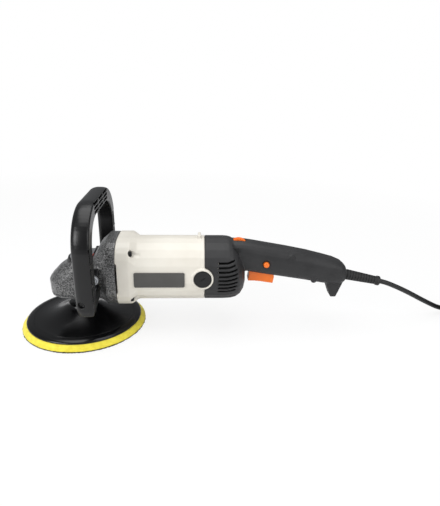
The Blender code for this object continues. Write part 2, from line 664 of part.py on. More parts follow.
def make_armature():
    core_end = CORE_START_X + CORE_LENGTH
    commutator_start = BRUSH_X - COMMUTATOR_LENGTH / 2
    pinion_end = LUG_X - 0.5 * MM
    nose = 2.6 * MM
    shaft_end = CAGE_END_X - 1.8 * MM
    rear_step = CAGE_FLOOR_X - 8 * MM
    shaft = turned("armature_shaft", [
        (0, shaft_end), (3.7 * MM, shaft_end), (3.7 * MM, rear_step), (SHAFT_RADIUS, rear_step),
        (SHAFT_RADIUS, 44 * MM), (5.7 * MM, 44 * MM), (5.7 * MM, pinion_end + 2 * MM), (nose, pinion_end + 0.4 * MM),
        (nose, pinion_end - 7.2 * MM), (0, pinion_end - 7.2 * MM),
    ], STEEL, (0, 0, MOTOR_Z), "X", steps=24)
    bore = SHAFT_RADIUS + CLEARANCE
    winding = CORE_RADIUS - 5 * MM
    core = turned("armature_core", [
        (winding - 3 * MM, core_end + COIL_OVERHANG), (winding, core_end + COIL_OVERHANG - 3 * MM), (winding, core_end),
        (CORE_RADIUS, core_end), (CORE_RADIUS, CORE_START_X), (winding, CORE_START_X),
        (winding, CORE_START_X - COIL_OVERHANG + 3 * MM), (winding - 3 * MM, CORE_START_X - COIL_OVERHANG),
        (bore, CORE_START_X - COIL_OVERHANG), (bore, core_end + COIL_OVERHANG),
    ], LAMINATION, (0, 0, MOTOR_Z), "X")
    commutator = turned("commutator", [
        (COMMUTATOR_RADIUS, commutator_start + COMMUTATOR_LENGTH), (COMMUTATOR_RADIUS, commutator_start + 2 * MM),
        (COMMUTATOR_RADIUS + 1.6 * MM, commutator_start + 2 * MM), (COMMUTATOR_RADIUS + 1.6 * MM, commutator_start),
        (bore, commutator_start), (bore, commutator_start + COMMUTATOR_LENGTH),
    ], COPPER, (0, 0, MOTOR_Z), "X", steps=24)
    fan = turned("cooling_fan_disc", [
        (FAN_RADIUS, FAN_X + 1.6 * MM), (FAN_RADIUS, FAN_X), (bore, FAN_X), (bore, FAN_X + FAN_WIDTH),
        (SHAFT_RADIUS + 5 * MM, FAN_X + FAN_WIDTH), (SHAFT_RADIUS + 5 * MM, FAN_X + 1.6 * MM),
    ], None, (0, 0, MOTOR_Z), "X", helper=True)

    def blade(i, out, side, far):
        radius = FAN_RADIUS - 0.5 * MM if out else 15 * MM
        half = 0.8 * MM if side else -0.8 * MM
        angle = 2 * math.pi * (i + 0.25) / FAN_BLADES
        x = FAN_X + (FAN_WIDTH - 1 * MM if far else 1 * MM)
        return (
            x, radius * math.cos(angle) - half * math.sin(angle),
            MOTOR_Z + radius * math.sin(angle) + half * math.cos(angle),
        )

    boolean(fan, tooth_mesh("cooling_fan_blades", FAN_BLADES, blade), "UNION")
    fan = finished(fan, "cooling_fan", BLACK)
    return shaft, core, commutator, fan, make_pinion(nose + CLEARANCE, pinion_end)


def make_pinion(bore, end):
    pitch_radius = PINION_TEETH * TOOTH_MODULE / 2
    root = pitch_radius - 1.2 * TOOTH_MODULE
    tip = pitch_radius + 0.7 * TOOTH_MODULE
    half_root, half_tip = 1.25 * MM, 0.5 * MM
    outline = []
    for i in range(PINION_TEETH):
        middle = -math.pi / 2 + 2 * math.pi * (i + 0.5) / PINION_TEETH
        for radius, half in ((root, -half_root), (tip, -half_tip), (tip, half_tip), (root, half_root)):
            outline.append((
                radius * math.cos(middle) - half * math.sin(middle), MOTOR_Z + radius * math.sin(middle)
                + half * math.cos(middle),
            ))
    pinion = flat("drive_pinion_teeth", outline, end - 7 * MM, end, "X")
    drill(pinion, bore, end - 9 * MM, end + 2 * MM, (0, 0, MOTOR_Z), "X", steps=14)
    return finished(pinion, "drive_pinion", STEEL)


def make_stator():
    outer = BARREL_RADIUS - BARREL_WALL - 2 * CLEARANCE
    yoke = outer - 6 * MM
    gap = CORE_RADIUS + 0.6 * MM
    pole_half = 19 * MM
    start, end = CORE_START_X, CORE_START_X + CORE_LENGTH
    core = turned("stator_yoke", ring_profile(yoke, outer, start, end), None, (0, 0, MOTOR_Z), "X", helper=True)
    for side in (-1, 1):
        near, far = sorted((side * (gap - 4 * MM), side * (yoke + 1 * MM)))
        boolean(core, block("stator_pole", (start + CLEARANCE, near, MOTOR_Z - pole_half),
                            (end - CLEARANCE, far, MOTOR_Z + pole_half)),
                "UNION")
    boolean(core, rod("stator_bore", gap, start - 2 * MM, end + 2 * MM, (0, 0, MOTOR_Z), "X"))
    finished(core, "stator_core", LAMINATION)
    coil_start, coil_end = start - COIL_OVERHANG, end + COIL_OVERHANG
    window = pole_half + CLEARANCE
    for side, name in ((-1, "field_coil_left"), (1, "field_coil_right")):
        coil = turned(name + "_turns", ring_profile(gap + 2.5 * MM, yoke - CLEARANCE, coil_start, coil_end, 1.5 * MM),
                      None, (0, 0, MOTOR_Z), "X", helper=True)
        near, far = sorted((-side * 60 * MM, side * 2.5 * MM))
        boolean(coil, block("coil_other_half", (0, near, 0), (200 * MM, far, 160 * MM)))
        near, far = sorted((0, side * 60 * MM))
        boolean(coil, block("coil_window", (start - CLEARANCE, near, MOTOR_Z - window),
                            (end + CLEARANCE, far, MOTOR_Z + window)))
        finished(coil, name, COPPER)
    turned("fan_baffle", [
        (40.3 * MM, 82 * MM), (40.3 * MM, 73 * MM), (28 * MM, 73 * MM), (28 * MM, 75 * MM), (38.3 * MM, 75 * MM),
        (38.3 * MM, 82 * MM),
    ], BLACK, (0, 0, MOTOR_Z), "X")
    bearing("front_bearing", 6 * MM, 16 * MM, 32 * MM, 42 * MM, "X", MOTOR_Z)
    bearing("rear_bearing", 4 * MM, 11 * MM, CAGE_FLOOR_X - 7.3 * MM, CAGE_FLOOR_X - 0.3 * MM, "X", MOTOR_Z)


def make_motor_housing():
    wide, high = FLANGE_HALF_WIDTH + 0.4 * MM, FLANGE_HALF_HEIGHT + 0.4 * MM
    middle = MOTOR_Z
    barrel = BARREL_RADIUS
    seam = SEAM_X - CLEARANCE / 2
    flange_start = JOINT_X + CLEARANCE / 2

    def ring(x, half_width, half_height, exponent):
        return cross_section(x, half_width, middle - half_height, middle + half_height, exponent)

    body = loft("motor_housing_body", [
        ring(flange_start, wide, high, FLANGE_SQUARENESS), ring(FLANGE_END_X - 1.5 * MM, wide, high, FLANGE_SQUARENESS),
        ring(FLANGE_END_X, wide - 0.6 * MM, high - 0.6 * MM, FLANGE_SQUARENESS),
        ring(BARREL_START_X, barrel, barrel, 2), ring(CAGE_END_X, barrel, barrel, 2),
    ])
    bore = barrel - BARREL_WALL
    web_start, web_end = BRUSH_X - 9.5 * MM, BRUSH_X - 5.5 * MM
    beyond = CAGE_END_X + 5 * MM
    boolean(body, turned("cage_outside", [
        (barrel + 9 * MM, beyond), (barrel + 9 * MM, seam), (bore, seam), (bore, web_end), (CAGE_RADIUS, web_end),
        (CAGE_RADIUS, beyond),
    ], None, (0, 0, middle), "X", helper=True, phase=CUT_PHASE))
    cage_inner = CAGE_RADIUS - CAGE_WALL
    boolean(body, turned("motor_inside", [
        (0, beyond), (6 * MM, beyond), (6 * MM, CAGE_FLOOR_X), (cage_inner, CAGE_FLOOR_X), (cage_inner, web_start),
        (bore, web_start), (bore, BARREL_START_X), (41 * MM, BARREL_START_X - 2 * MM), (41 * MM, JOINT_X - 3 * MM),
        (0, JOINT_X - 3 * MM),
    ], None, (0, 0, middle), "X", helper=True, phase=CUT_PHASE))
    boolean(body, turned("bearing_hub", ring_profile(11 * MM + CLEARANCE, 14 * MM, CAGE_FLOOR_X - 6 * MM,
                                                     CAGE_FLOOR_X + 0.6 * MM), None, (0, 0, middle), "X", helper=True),
            "UNION")
    for side in (-1, 1):
        start, end = sorted((side * (CAGE_RADIUS - 2.5 * MM), side * 47.9 * MM))
        boolean(body, rod("brush_boss", 15.4 * MM, start, end, (BRUSH_X, 0, middle), "Y"), "UNION")
    boolean(body, block("top_nub", (170.8 * MM, -8 * MM, middle + barrel - 2 * MM),
                        (175.4 * MM, 8 * MM, middle + barrel + 4.8 * MM), bevel=0.8 * MM), "UNION")
    for side in (-1, 1):
        start, end = sorted((side * 42.6 * MM, side * 50 * MM))
        drill(body, 12.6 * MM, start, end, (BRUSH_X, 0, middle), "Y")
        near, far = sorted((side * 30 * MM, side * 44 * MM))
        boolean(body, block("holder_slot", (BRUSH_X - 8.3 * MM, near, middle - 4.8 * MM),
                            (BRUSH_X + 8.3 * MM, far, middle + 4.8 * MM)))
    for across, up in flange_screws():
        where = (0, across, middle + up)
        boolean(body, turned("screw_recess", [
            (0, BARREL_START_X + 5 * MM), (4.7 * MM, BARREL_START_X + 5 * MM), (4.7 * MM, FLANGE_END_X - 1.6 * MM),
            (2.5 * MM, FLANGE_END_X - 1.6 * MM), (2.5 * MM, JOINT_X - 2 * MM), (0, JOINT_X - 2 * MM),
        ], None, where, "X", steps=16, helper=True, phase=CUT_PHASE))
    vent_low, vent_high = MOTOR_Z - 22 * MM, MOTOR_Z + 22 * MM
    for side in (-1, 1):
        near, far = sorted((side * 40 * MM, side * 60 * MM))
        boolean(body, block("air_outlet", (JOINT_X - 2 * MM, near, vent_low), (JOINT_X + 2.2 * MM, far, vent_high)))
    finished(body, "motor_housing", CREAM)
    head_start = FLANGE_END_X - 1.5 * MM + CLEARANCE
    for number, (across, up) in enumerate(flange_screws(), 1):
        turned(f"housing_screw_{number}", [
            (0, head_start + 4 * MM), (3 * MM, head_start + 4 * MM), (3.7 * MM, head_start + 3.2 * MM),
            (3.7 * MM, head_start), (2.1 * MM, head_start), (2.1 * MM, 47 * MM), (0, 47 * MM),
        ], ZINC, (0, across, middle + up), "X", steps=12)


def make_brushes():
    holder_start, holder_end = 17.5 * MM, 42.2 * MM
    brush_end = 31 * MM
    for side, name in ((-1, "left"), (1, "right")):
        def span(first, second, side=side):
            return sorted((side * first, side * second))

        near, far = span(holder_start, holder_end)
        holder = block("holder_tube", (BRUSH_X - 8 * MM, near, MOTOR_Z - 4.5 * MM),
                       (BRUSH_X + 8 * MM, far, MOTOR_Z + 4.5 * MM))
        near, far = span(holder_start - 2 * MM, holder_end + 2 * MM)
        boolean(holder, block("holder_inside", (BRUSH_X - 6.8 * MM, near, MOTOR_Z - 3.3 * MM),
                              (BRUSH_X + 6.8 * MM, far, MOTOR_Z + 3.3 * MM)))
        finished(holder, f"brush_holder_{name}", BRASS)
        near, far = span(COMMUTATOR_RADIUS + 0.4 * MM, brush_end)
        block(f"brush_{name}", (BRUSH_X - 6.5 * MM, near, MOTOR_Z - 3 * MM), (BRUSH_X + 6.5 * MM, far, MOTOR_Z + 3 * MM),
              CARBON, helper=False)
        near, far = span(42.9 * MM, 47.5 * MM)
        cap = rod("cap_disc", 12.3 * MM, near, far, (BRUSH_X, 0, MOTOR_Z), "Y")
        near, far = span(46.4 * MM, 48.5 * MM)
        slot = block("cap_slot", (BRUSH_X - 4 * MM, near, MOTOR_Z - 0.6 * MM),
                     (BRUSH_X + 4 * MM, far, MOTOR_Z + 0.6 * MM))
        slot.rotation_euler = (0, math.radians(-35), 0)
        boolean(cap, slot)
        finished(cap, f"brush_cap_{name}", BLACK)


def make_badge():
    """The bare name plate on the near side, bent to the barrel."""
    inner = BARREL_RADIUS + 0.15 * MM
    badge = turned("badge_band", ring_profile(inner, inner + 0.7 * MM, 84 * MM, 153 * MM), None, (0, 0, MOTOR_Z), "X",
                   steps=96, helper=True)
    outline = rounded_rectangle(88.5 * MM, 152.6 * MM, MOTOR_Z - 11.6 * MM, MOTOR_Z + 9.8 * MM, 2 * MM)
    boolean(badge, flat("badge_outline", outline, -60 * MM, -30 * MM, "Y"), "INTERSECT")
    finished(badge, "badge", BADGE_GREY)


def rounded_rectangle(left, right, low, high, radius, segments=4):
    points = []
    for centre_x, centre_z, start in (
        (right - radius, high - radius, 0), (left + radius, high - radius, 1), (left + radius, low + radius, 2),
        (right - radius, low + radius, 3),
    ):
        for i in range(segments + 1):
            angle = math.pi / 2 * (start + i / segments)
            points.append((centre_x + radius * math.cos(angle), centre_z + radius * math.sin(angle)))
    return points


# Rear handle


BELLY_TILT = 0.16  # how far the belly's end leans forward, per height
BELLY_MM = (  # x, radius
    (180.65, 46.7), (208, 46.7), (217, 46), (223, 44.2), (229, 39.5), (234, 31.5), (237.5, 21), (239.5, 8),
)
GRIP_MM = (  # x, half width, bottom, top
    (200, 19, 90, 134.6), (236, 21, 86.5, 132.7), (250, 21.4, 84.2, 130.6), (270, 21.4, 80.8, 127),
    (300, 21.2, 76, 121.7), (330, 21, 71.2, 115.6), (355, 21, 66.6, 109.2), (372, 20.6, 64.6, 104.4), (383, 19, 65, 99.6),
    (389, 15.5, 67.3, 94.4), (TAIL_X / MM, 12.5, 69.5, 91.5),
)


def belly_rings(wall):
    rings = []
    for x, radius in BELLY_MM:
        inside = max(radius * MM - wall, 3 * MM)
        lean = BELLY_TILT * max(0.0, (x - 206) / 34)
        shift = wall if x > 230 else 0
        outline = superellipse(inside, inside, 2, phase=0.13 if wall else 0.5)
        rings.append([(x * MM - shift - lean * up, across, MOTOR_Z + up) for across, up in outline])
    if wall:
        rings[0] = [(SEAM_X - 3 * MM, y, z) for _, y, z in rings[0]]
    return rings


def grip_rings(wall):
    rings = []
    for x, half_width, bottom, top in GRIP_MM:
        rings.append(cross_section(x * MM, half_width * MM - wall, bottom * MM + wall, top * MM - wall, GRIP_SQUARENESS,
                                   phase=0.13 if wall else 0.5))
    if wall:
        rings[-1] = [(TAIL_X - wall, y, z) for _, y, z in rings[-1]]
        rings[-2] = [(TAIL_X - wall - 2 * MM, y, z) for _, y, z in rings[-2]]
        rings[0] = [(x - 8 * MM, y, z) for x, y, z in rings[0]]
    return rings


def grip_at(x):
    """(half width, bottom, top) of the grip at x, in metres."""
    x_mm = x / MM
    for (x0, *first), (x1, *second) in zip(GRIP_MM, GRIP_MM[1:]):
        if x0 <= x_mm <= x1:
            share = (x_mm - x0) / (x1 - x0)
            return [(a + share * (b - a)) * MM for a, b in zip(first, second)]
    raise ValueError("x is outside the grip")


def vent_outline(low, start, kink, end, rise):
    """A slot that runs level and then slants up."""
    return [
        (start, low), (kink, low), (end, low + rise), (end, low + rise + VENT_WIDTH), (kink, low + VENT_WIDTH),
        (start, low + VENT_WIDTH),
    ]


def make_handle_shells():
    body = loft("rear_handle_belly", belly_rings(0))
    boolean(body, loft("rear_handle_grip", grip_rings(0)), "UNION")
    hook = [(364, 71), (364.3, 62.5), (370, 47.5), (371.6, 43.9), (373, 43.3), (378.6, 43.3), (380, 44.2), (388.6, 68),
            (388, 74)]
    boolean(body, flat("tail_hook", [(x * MM, z * MM) for x, z in hook], -9 * MM, 9 * MM, "Y"), "UNION")
    belly_wall = BARREL_WALL
    boolean(body, loft("belly_inside", belly_rings(belly_wall)))
    boolean(body, loft("grip_inside", grip_rings(GRIP_WALL)))

    switch_half = 12 * MM + CLEARANCE
    for x in (262 * MM, 292 * MM):
        half, bottom, top = grip_at(x)
        for side in (-1, 1):
            near, far = sorted((side * switch_half, side * (half - 1.5 * MM)))
            boolean(body, block("switch_rib", (x, near, (bottom + top) / 2 - 7 * MM),
                                (x + 2.5 * MM, far, (bottom + top) / 2 + 9 * MM)), "UNION")
    for number, (x, z) in enumerate(shell_screws(), 1):
        half = grip_at(x)[0]
        boolean(body, rod(f"screw_post_{number}", 4.6 * MM, -half + 1.2 * MM, half - 1.2 * MM, (x, 0, z), "Y", steps=14),
                "UNION")
        boolean(body, turned(f"screw_hole_{number}", [
            (0, half - 6 * MM), (1.9 * MM, half - 6 * MM), (1.9 * MM, -half + 4.5 * MM), (3.6 * MM, -half + 4.5 * MM),
            (3.6 * MM, -half - 2 * MM), (0, -half - 2 * MM),
        ], None, (x, 0, z), turn=(math.pi / 2, 0, 0), steps=12, helper=True, phase=CUT_PHASE))

    for side in (-1, 1):
        near, far = sorted((side * 25 * MM, side * 60 * MM))
        for i in range(VENT_COUNT):
            low = MOTOR_Z - 22.2 * MM + i * VENT_PITCH * 0.9
            reach = 224 * MM + 3.4 * MM * math.sin(math.pi * (i + 0.7) / VENT_COUNT) - 1.6 * MM * (i > 5)
            outline = vent_outline(low, 198.4 * MM, 212.6 * MM, reach, 2.4 * MM)
            boolean(body, flat("vent", outline, near, far, "Y"))
        start, end = sorted((side * 38 * MM, side * 60 * MM))
        drill(body, 15.8 * MM, start, end, (BRUSH_X, 0, MOTOR_Z), "Y")
    half_slot = TRIGGER_WIDTH / 2 + CLEARANCE
    boolean(body, block("trigger_slot", (TRIGGER_FRONT_X - 1.2 * MM, -half_slot, 60 * MM),
                        (TRIGGER_REAR_X + 3.4 * MM, half_slot, TRIGGER_PIVOT[2] + 2 * MM)))
    half_slot = DIAL_WIDTH / 2 + CLEARANCE
    drill(body, DIAL_RADIUS + 0.7 * MM, -half_slot, half_slot, (DIAL_X, 0, DIAL_Z), "Y", steps=36)
    surface = grip_at(LOCK_ON_X)[0]
    where = (LOCK_ON_X, 0, LOCK_ON_Z)
    boolean(body, turned("lock_on_hole", [
        (0, -10 * MM), (LOCK_ON_RADIUS + CLEARANCE, -10 * MM), (LOCK_ON_RADIUS + CLEARANCE, -surface + 1 * MM),
        (8 * MM, -surface + 1 * MM), (8 * MM, -surface - 5 * MM), (0, -surface - 5 * MM),
    ], None, where, "Y", steps=20, helper=True, phase=CUT_PHASE))
    turn = (0, math.pi / 2 + BOOT_TILT, 0)
    boolean(body, turned("boot_hole", [(0, 20 * MM), (8.6 * MM, 20 * MM), (8.6 * MM, -9 * MM), (0, -9 * MM)], None,
                         BOOT_START, turn=turn, helper=True, phase=CUT_PHASE, steps=20))

    for side, name in ((-1, "left"), (1, "right")):
        near, far = sorted((side * SHELL_GAP / 2, side * 80 * MM))
        half = finished(body, f"half_{name}", GREY)
        CUTTERS.objects.link(half)
        PARTS.objects.unlink(half)
        half.hide_render = True
        half.display_type = "WIRE"
        boolean(half, block("half_space", (150 * MM, near, 0), (420 * MM, far, 170 * MM)), "INTERSECT")
        finished(half, f"handle_shell_{name}", GREY)


def shell_screws():
    """(x, z) of the three screws that hold the shells together."""
    return [(306 * MM, 110 * MM), (341 * MM, 76 * MM), (370 * MM, 91 * MM)]


def make_handle_inside():
    for number, (x, z) in enumerate(shell_screws(), 1):
        half = grip_at(x)[0]
        seat = -half + 4.5 * MM - CLEARANCE
        turned(f"shell_screw_{number}", [
            (0, half - 7 * MM), (1.5 * MM, half - 7 * MM), (1.5 * MM, seat), (3.2 * MM, seat), (3.2 * MM, seat - 1.4 * MM),
            (2.4 * MM, seat - 2.2 * MM), (0, seat - 2.2 * MM),
        ], STEEL, (x, 0, z), turn=(math.pi / 2, 0, 0), steps=12)
    trigger_outline = [
        (245, 70.3), (246.4, 80), (245.6, 86.5), (247.5, 91.3), (254, 91.3), (262, 87), (282.6, 84.5), (283.8, 76),
        (282.3, 66.2), (273, 67.6), (264, 69.2), (255, 70.1),
    ]
    half = TRIGGER_WIDTH / 2
    trigger = flat("trigger", [(x * MM, z * MM) for x, z in trigger_outline], -half, half, "Y", ORANGE, helper=False)
    block("switch_body", (256 * MM, -12 * MM, 93 * MM), (297 * MM, 12 * MM, 113 * MM), BLACK, bevel=1 * MM,
          helper=False)
    surface = grip_at(LOCK_ON_X)[0]
    reach = surface + 2 * MM
    button = turned("lock_on_button", [
        (0, -15.4 * MM), (5 * MM, -15.4 * MM), (5 * MM, -surface + GRIP_WALL + 2.4 * MM),
        (LOCK_ON_RADIUS, -surface + GRIP_WALL + 2.4 * MM), (LOCK_ON_RADIUS, -reach + 0.9 * MM),
        (LOCK_ON_RADIUS - 1.1 * MM, -reach), (0, -reach),
    ], ORANGE, (LOCK_ON_X, 0, LOCK_ON_Z), "Y", steps=20)
    axle_end = 8.4 * MM
    half = DIAL_WIDTH / 2
    dial = turned("speed_dial", [
        (0, axle_end), (2 * MM, axle_end), (2 * MM, half), (DIAL_RADIUS - 0.8 * MM, half), (DIAL_RADIUS, half - 0.8 * MM),
        (DIAL_RADIUS, -half + 0.8 * MM), (DIAL_RADIUS - 0.8 * MM, -half), (0, -half),
    ], ORANGE, (DIAL_X, 0, DIAL_Z), "Y")
    module = block("module_board", (221 * MM, -9 * MM, 94.5 * MM), (243 * MM, 10 * MM, 102.8 * MM))
    boolean(module, block("module_plate", (226 * MM, half + 1.2 * MM, 98 * MM), (234 * MM, axle_end - 0.5 * MM,
                                                                               DIAL_Z + 4.5 * MM)), "UNION")
    drill(module, 2 * MM + CLEARANCE, 0, 20 * MM, (DIAL_X, 0, DIAL_Z), "Y", steps=14)
    finished(module, "speed_module", BLACK)
    clamp_x = 351 * MM
    half, bottom, top = grip_at(clamp_x)
    middle = (bottom + top) / 2
    block("cord_clamp", (clamp_x, -half + GRIP_WALL + 0.6 * MM, middle - 3 * MM),
          (clamp_x + 9 * MM, half - GRIP_WALL - 0.6 * MM, middle + 3 * MM), BLACK, bevel=1 * MM, helper=False)
    make_boot()
    return trigger, button, dial


def make_boot():
    length = BOOT_LENGTH
    turned("strain_relief", [
        (0, length), (6.6 * MM, length), (7.3 * MM, length - 1 * MM), (7.3 * MM, length - 4.6 * MM),
        (6.3 * MM, length - 5.4 * MM), (8.2 * MM, 3 * MM), (8.3 * MM, -5.2 * MM), (10 * MM, -5.2 * MM),
        (10 * MM, -8.5 * MM), (0, -8.5 * MM),
    ], BLACK_RUBBER, BOOT_START, turn=(0, math.pi / 2 + BOOT_TILT, 0), steps=18)


# D handle


def loop_path():
    """(y, z) points up the near leg, over the bar and down the far leg."""
    half = LOOP_HALF_SPAN
    bar = LOOP_TOP - LOOP_THICKNESS / 2
    corner = LOOP_CORNER
    points = [(-half + 1.2 * MM, LOOP_FOOT), (-half, LOOP_FOOT + 9 * MM), (-half, 100 * MM)]
    for i in range(17):
        angle = math.pi - math.pi / 2 * i / 16
        points.append((-half + corner + corner * math.cos(angle), bar - corner + corner * math.sin(angle)))
    return points + [(-y, z) for y, z in reversed(points)]


def make_side_handle():
    half_depth, half_thick = LOOP_DEPTH / 2, LOOP_THICKNESS / 2
    section = [  # (out from the loop, along X) over half the thickness and half the depth: round outside and in front
        (1, 0.1), (0.995, 0.35), (0.97, 0.6), (0.91, 0.83), (0.84, 0.95), (0.74, 1), (-0.88, 1), (-0.97, 0.95),
        (-1, 0.86), (-1, -0.5), (-0.97, -0.67), (-0.88, -0.82), (-0.72, -0.92), (-0.5, -0.975), (-0.22, -1),
        (0.06, -1), (0.3, -0.97), (0.52, -0.9), (0.7, -0.78), (0.84, -0.6), (0.94, -0.38), (0.985, -0.14),
    ]
    corners = [(across * half_thick, deep * half_depth) for across, deep in section]
    rings = []
    path = loop_path()
    for i, (y, z) in enumerate(path):
        before = path[max(i - 1, 0)]
        after = path[min(i + 1, len(path) - 1)]
        along = Vector((after[0] - before[0], after[1] - before[1])).normalized()
        outward = Vector((-along.y, along.x))
        share = 0.86 if i in (0, len(path) - 1) else 1  # the feet taper
        if share < 1:
            outward = Vector((-1 if i == 0 else 1, 0))
        rings.append([(LOOP_X + share * deep, y + share * across * outward.x, z + share * across * outward.y)
                      for across, deep in corners])
    loop = loft("side_handle_loop", rings)

    outer = LOOP_HALF_SPAN + half_thick
    inner = LOOP_HALF_SPAN - half_thick
    lug_far = LUG_SEAT_Y + CLEARANCE
    lug_near = lug_far + 4.2 * MM
    front, rear = LOOP_X - half_depth, LOOP_X + half_depth
    for side in (-1, 1):
        outline = [
            (outer - 9 * MM, LOOP_FOOT + 0.6 * MM), (inner - 1 * MM, LOOP_FOOT + 0.6 * MM),
            (lug_near, 64 * MM), (lug_far, 66 * MM), (lug_far, HEAD_TOP + 1 * MM), (lug_near, HEAD_TOP + 1 * MM),
            (lug_near, 82.3 * MM), (inner + 2 * MM, 82.3 * MM), (inner + 2 * MM, 96 * MM), (outer - 9 * MM, 96 * MM),
        ]
        outline = [(side * y, z) for y, z in outline]
        boolean(loop, flat("side_handle_foot", outline, front + 1.9 * MM, rear - 1.9 * MM, "X"), "UNION")
    for side in (-1, 1):
        start, end = sorted((side * 30 * MM, side * 60 * MM))
        drill(loop, 4.4 * MM, start, end, (LUG_X, 0, MOTOR_Z), "Y", steps=16)
        start, end = sorted((side * (outer - 6 * MM), side * (outer + 8 * MM)))
        drill(loop, 4.5 * MM, start, end, (21 * MM, 0, 74 * MM), "Y", steps=16)
        near, far = sorted((side * (lug_near + 3 * MM), side * (inner - 1 * MM)))
        for x in (front + 3.6 * MM, front + 13.2 * MM):
            low, high = 67 * MM, 90 * MM
            boolean(loop, block("web_pocket", (x, near, low), (x + 7.4 * MM, far, high)))
    slot_width = 3.1 * MM
    for across in (-5.6 * MM, 0, 5.6 * MM):
        for z in (76 * MM, 102 * MM, 128 * MM):
            for side in (-1, 1):
                middle = side * (LOOP_HALF_SPAN + across)
                boolean(loop, block("leg_slot", (rear - 9 * MM, middle - slot_width / 2, z),
                                    (rear + 3 * MM, middle + slot_width / 2, z + 23 * MM)))
        bar = LOOP_TOP - half_thick + across
        for y in (-44 * MM, -14 * MM, 16 * MM):
            boolean(loop, block("bar_slot", (rear - 9 * MM, y, bar - slot_width / 2),
                                (rear + 3 * MM, y + 27 * MM, bar + slot_width / 2)))
    finished(loop, "side_handle", BLACK)
    for side, name in ((-1, "left"), (1, "right")):
        seat = lug_near + CLEARANCE
        turned(f"handle_bolt_{name}", [
            (0, LUG_SEAT_Y - 8 * MM), (4 * MM, LUG_SEAT_Y - 8 * MM), (4 * MM, seat), (7.2 * MM, seat),
            (7.2 * MM, seat + 4.4 * MM), (3.6 * MM, seat + 4.4 * MM), (3.6 * MM, seat + 2 * MM), (0, seat + 2 * MM),
        ][::-1], ZINC, (LUG_X, 0, MOTOR_Z), turn=(-side * math.pi / 2, 0, 0), steps=18)


# Cord


def smooth_route(route_mm, spacing):
    """Points at an even spacing on the smooth curve through the route's points."""
    points = [Vector(p) * MM for p in route_mm]
    ends = [2 * points[0] - points[1], *points, 2 * points[-1] - points[-2]]
    fine = []
    for p0, p1, p2, p3 in zip(ends, ends[1:], ends[2:], ends[3:]):
        for i in range(12):
            t = i / 12
            fine.append(0.5 * (2 * p1 + (p2 - p0) * t + (2 * p0 - 5 * p1 + 4 * p2 - p3) * t * t
                               + (3 * p1 - p0 - 3 * p2 + p3) * t ** 3))
    fine.append(points[-1])
    picked = [fine[0]]
    for point in fine[1:-1]:
        if (point - picked[-1]).length >= spacing and (fine[-1] - point).length >= spacing / 2:
            picked.append(point)
    return [*picked, fine[-1]]


def cord_tube(name, route_mm):
    curve = bpy.data.curves.new(name, "CURVE")
    curve.dimensions = "3D"
    curve.bevel_depth = CORD_RADIUS
    curve.bevel_resolution = 2
    curve.use_fill_caps = True
    path = smooth_route(route_mm, 5 * CORD_RADIUS)
    spline = curve.splines.new("POLY")
    spline.points.add(len(path) - 1)
    for point, where in zip(spline.points, path):
        point.co = (*where, 1)
    curve.materials.append(BLACK_RUBBER)
    made = bpy.data.objects.new(name, curve)
    PARTS.objects.link(made)
    return made


def make_cord():
    cord_tube("cord_lead", LEAD_ROUTE_MM)
    cord_tube("cord_tail", TAIL_ROUTE_MM)
    middle = COIL_MIDDLE_RADIUS
    half = COIL_COLUMNS * CORD_PITCH / 2
    low = TIE_THICKNESS + CLEARANCE
    high = low + COIL_LAYERS * CORD_PITCH
    centre = (*COIL_CENTRE, 0)
    turned("cord_coil", ring_profile(middle - half, middle + half, low, high, 2.4 * MM), BLACK_RUBBER, centre)
    tie_half = 4 * MM
    inside_low = (middle - half - 4 * CLEARANCE, -tie_half - 1 * MM, low - CLEARANCE)
    inside_high = (middle + half + 1.5 * CLEARANCE, tie_half + 1 * MM, high + CLEARANCE)
    thick = TIE_THICKNESS
    tie = block("tie_outside", (inside_low[0] - thick, -tie_half, inside_low[2] - thick),
                (inside_high[0] + thick, tie_half, inside_high[2] + thick))
    boolean(tie, block("tie_inside", inside_low, inside_high))
    tie = finished(tie, "cord_tie", BLACK)
    tie.location = centre
    make_plug()


def make_plug():
    """A moulded two-pin plug that lies on its flat side, with its pins pointing along +X."""
    relief_length, body_length, pin_length = 24 * MM, 34 * MM, 19 * MM
    relief = turned("plug_relief", [
        (0, relief_length + 4 * MM), (8 * MM, relief_length + 4 * MM), (7.4 * MM, relief_length - 2 * MM),
        (5.4 * MM, 0), (0, 0),
    ], None, PLUG_START, "X", steps=20, helper=True)
    start = PLUG_START.x + relief_length
    outline = [
        (start, 7 * MM), (start + 8 * MM, 14.5 * MM), (start + 16 * MM, 17.5 * MM), (start + body_length - 5 * MM, 17.5 * MM),
        (start + body_length, 15.5 * MM),
    ]
    outline = outline + [(x, -y) for x, y in reversed(outline)]
    outline = [(x, PLUG_START.y + y) for x, y in outline]
    body = flat("plug_body", outline, PLUG_START.z - 13.4 * MM, PLUG_START.z + 13.4 * MM, "Z")
    boolean(body, relief, "UNION")
    for side in (-1, 1):
        pin_start = start + body_length - 3 * MM
        pin = turned("plug_pin", [
            (0, pin_length + 3 * MM), (1.6 * MM, pin_length + 3 * MM), (2.4 * MM, pin_length + 1.6 * MM), (2.4 * MM, 0),
            (0, 0),
        ], None, (pin_start, PLUG_START.y + side * 9.5 * MM, PLUG_START.z), "X", steps=14, helper=True)
        boolean(body, pin, "UNION")
    finished(body, "plug", BLACK_RUBBER)


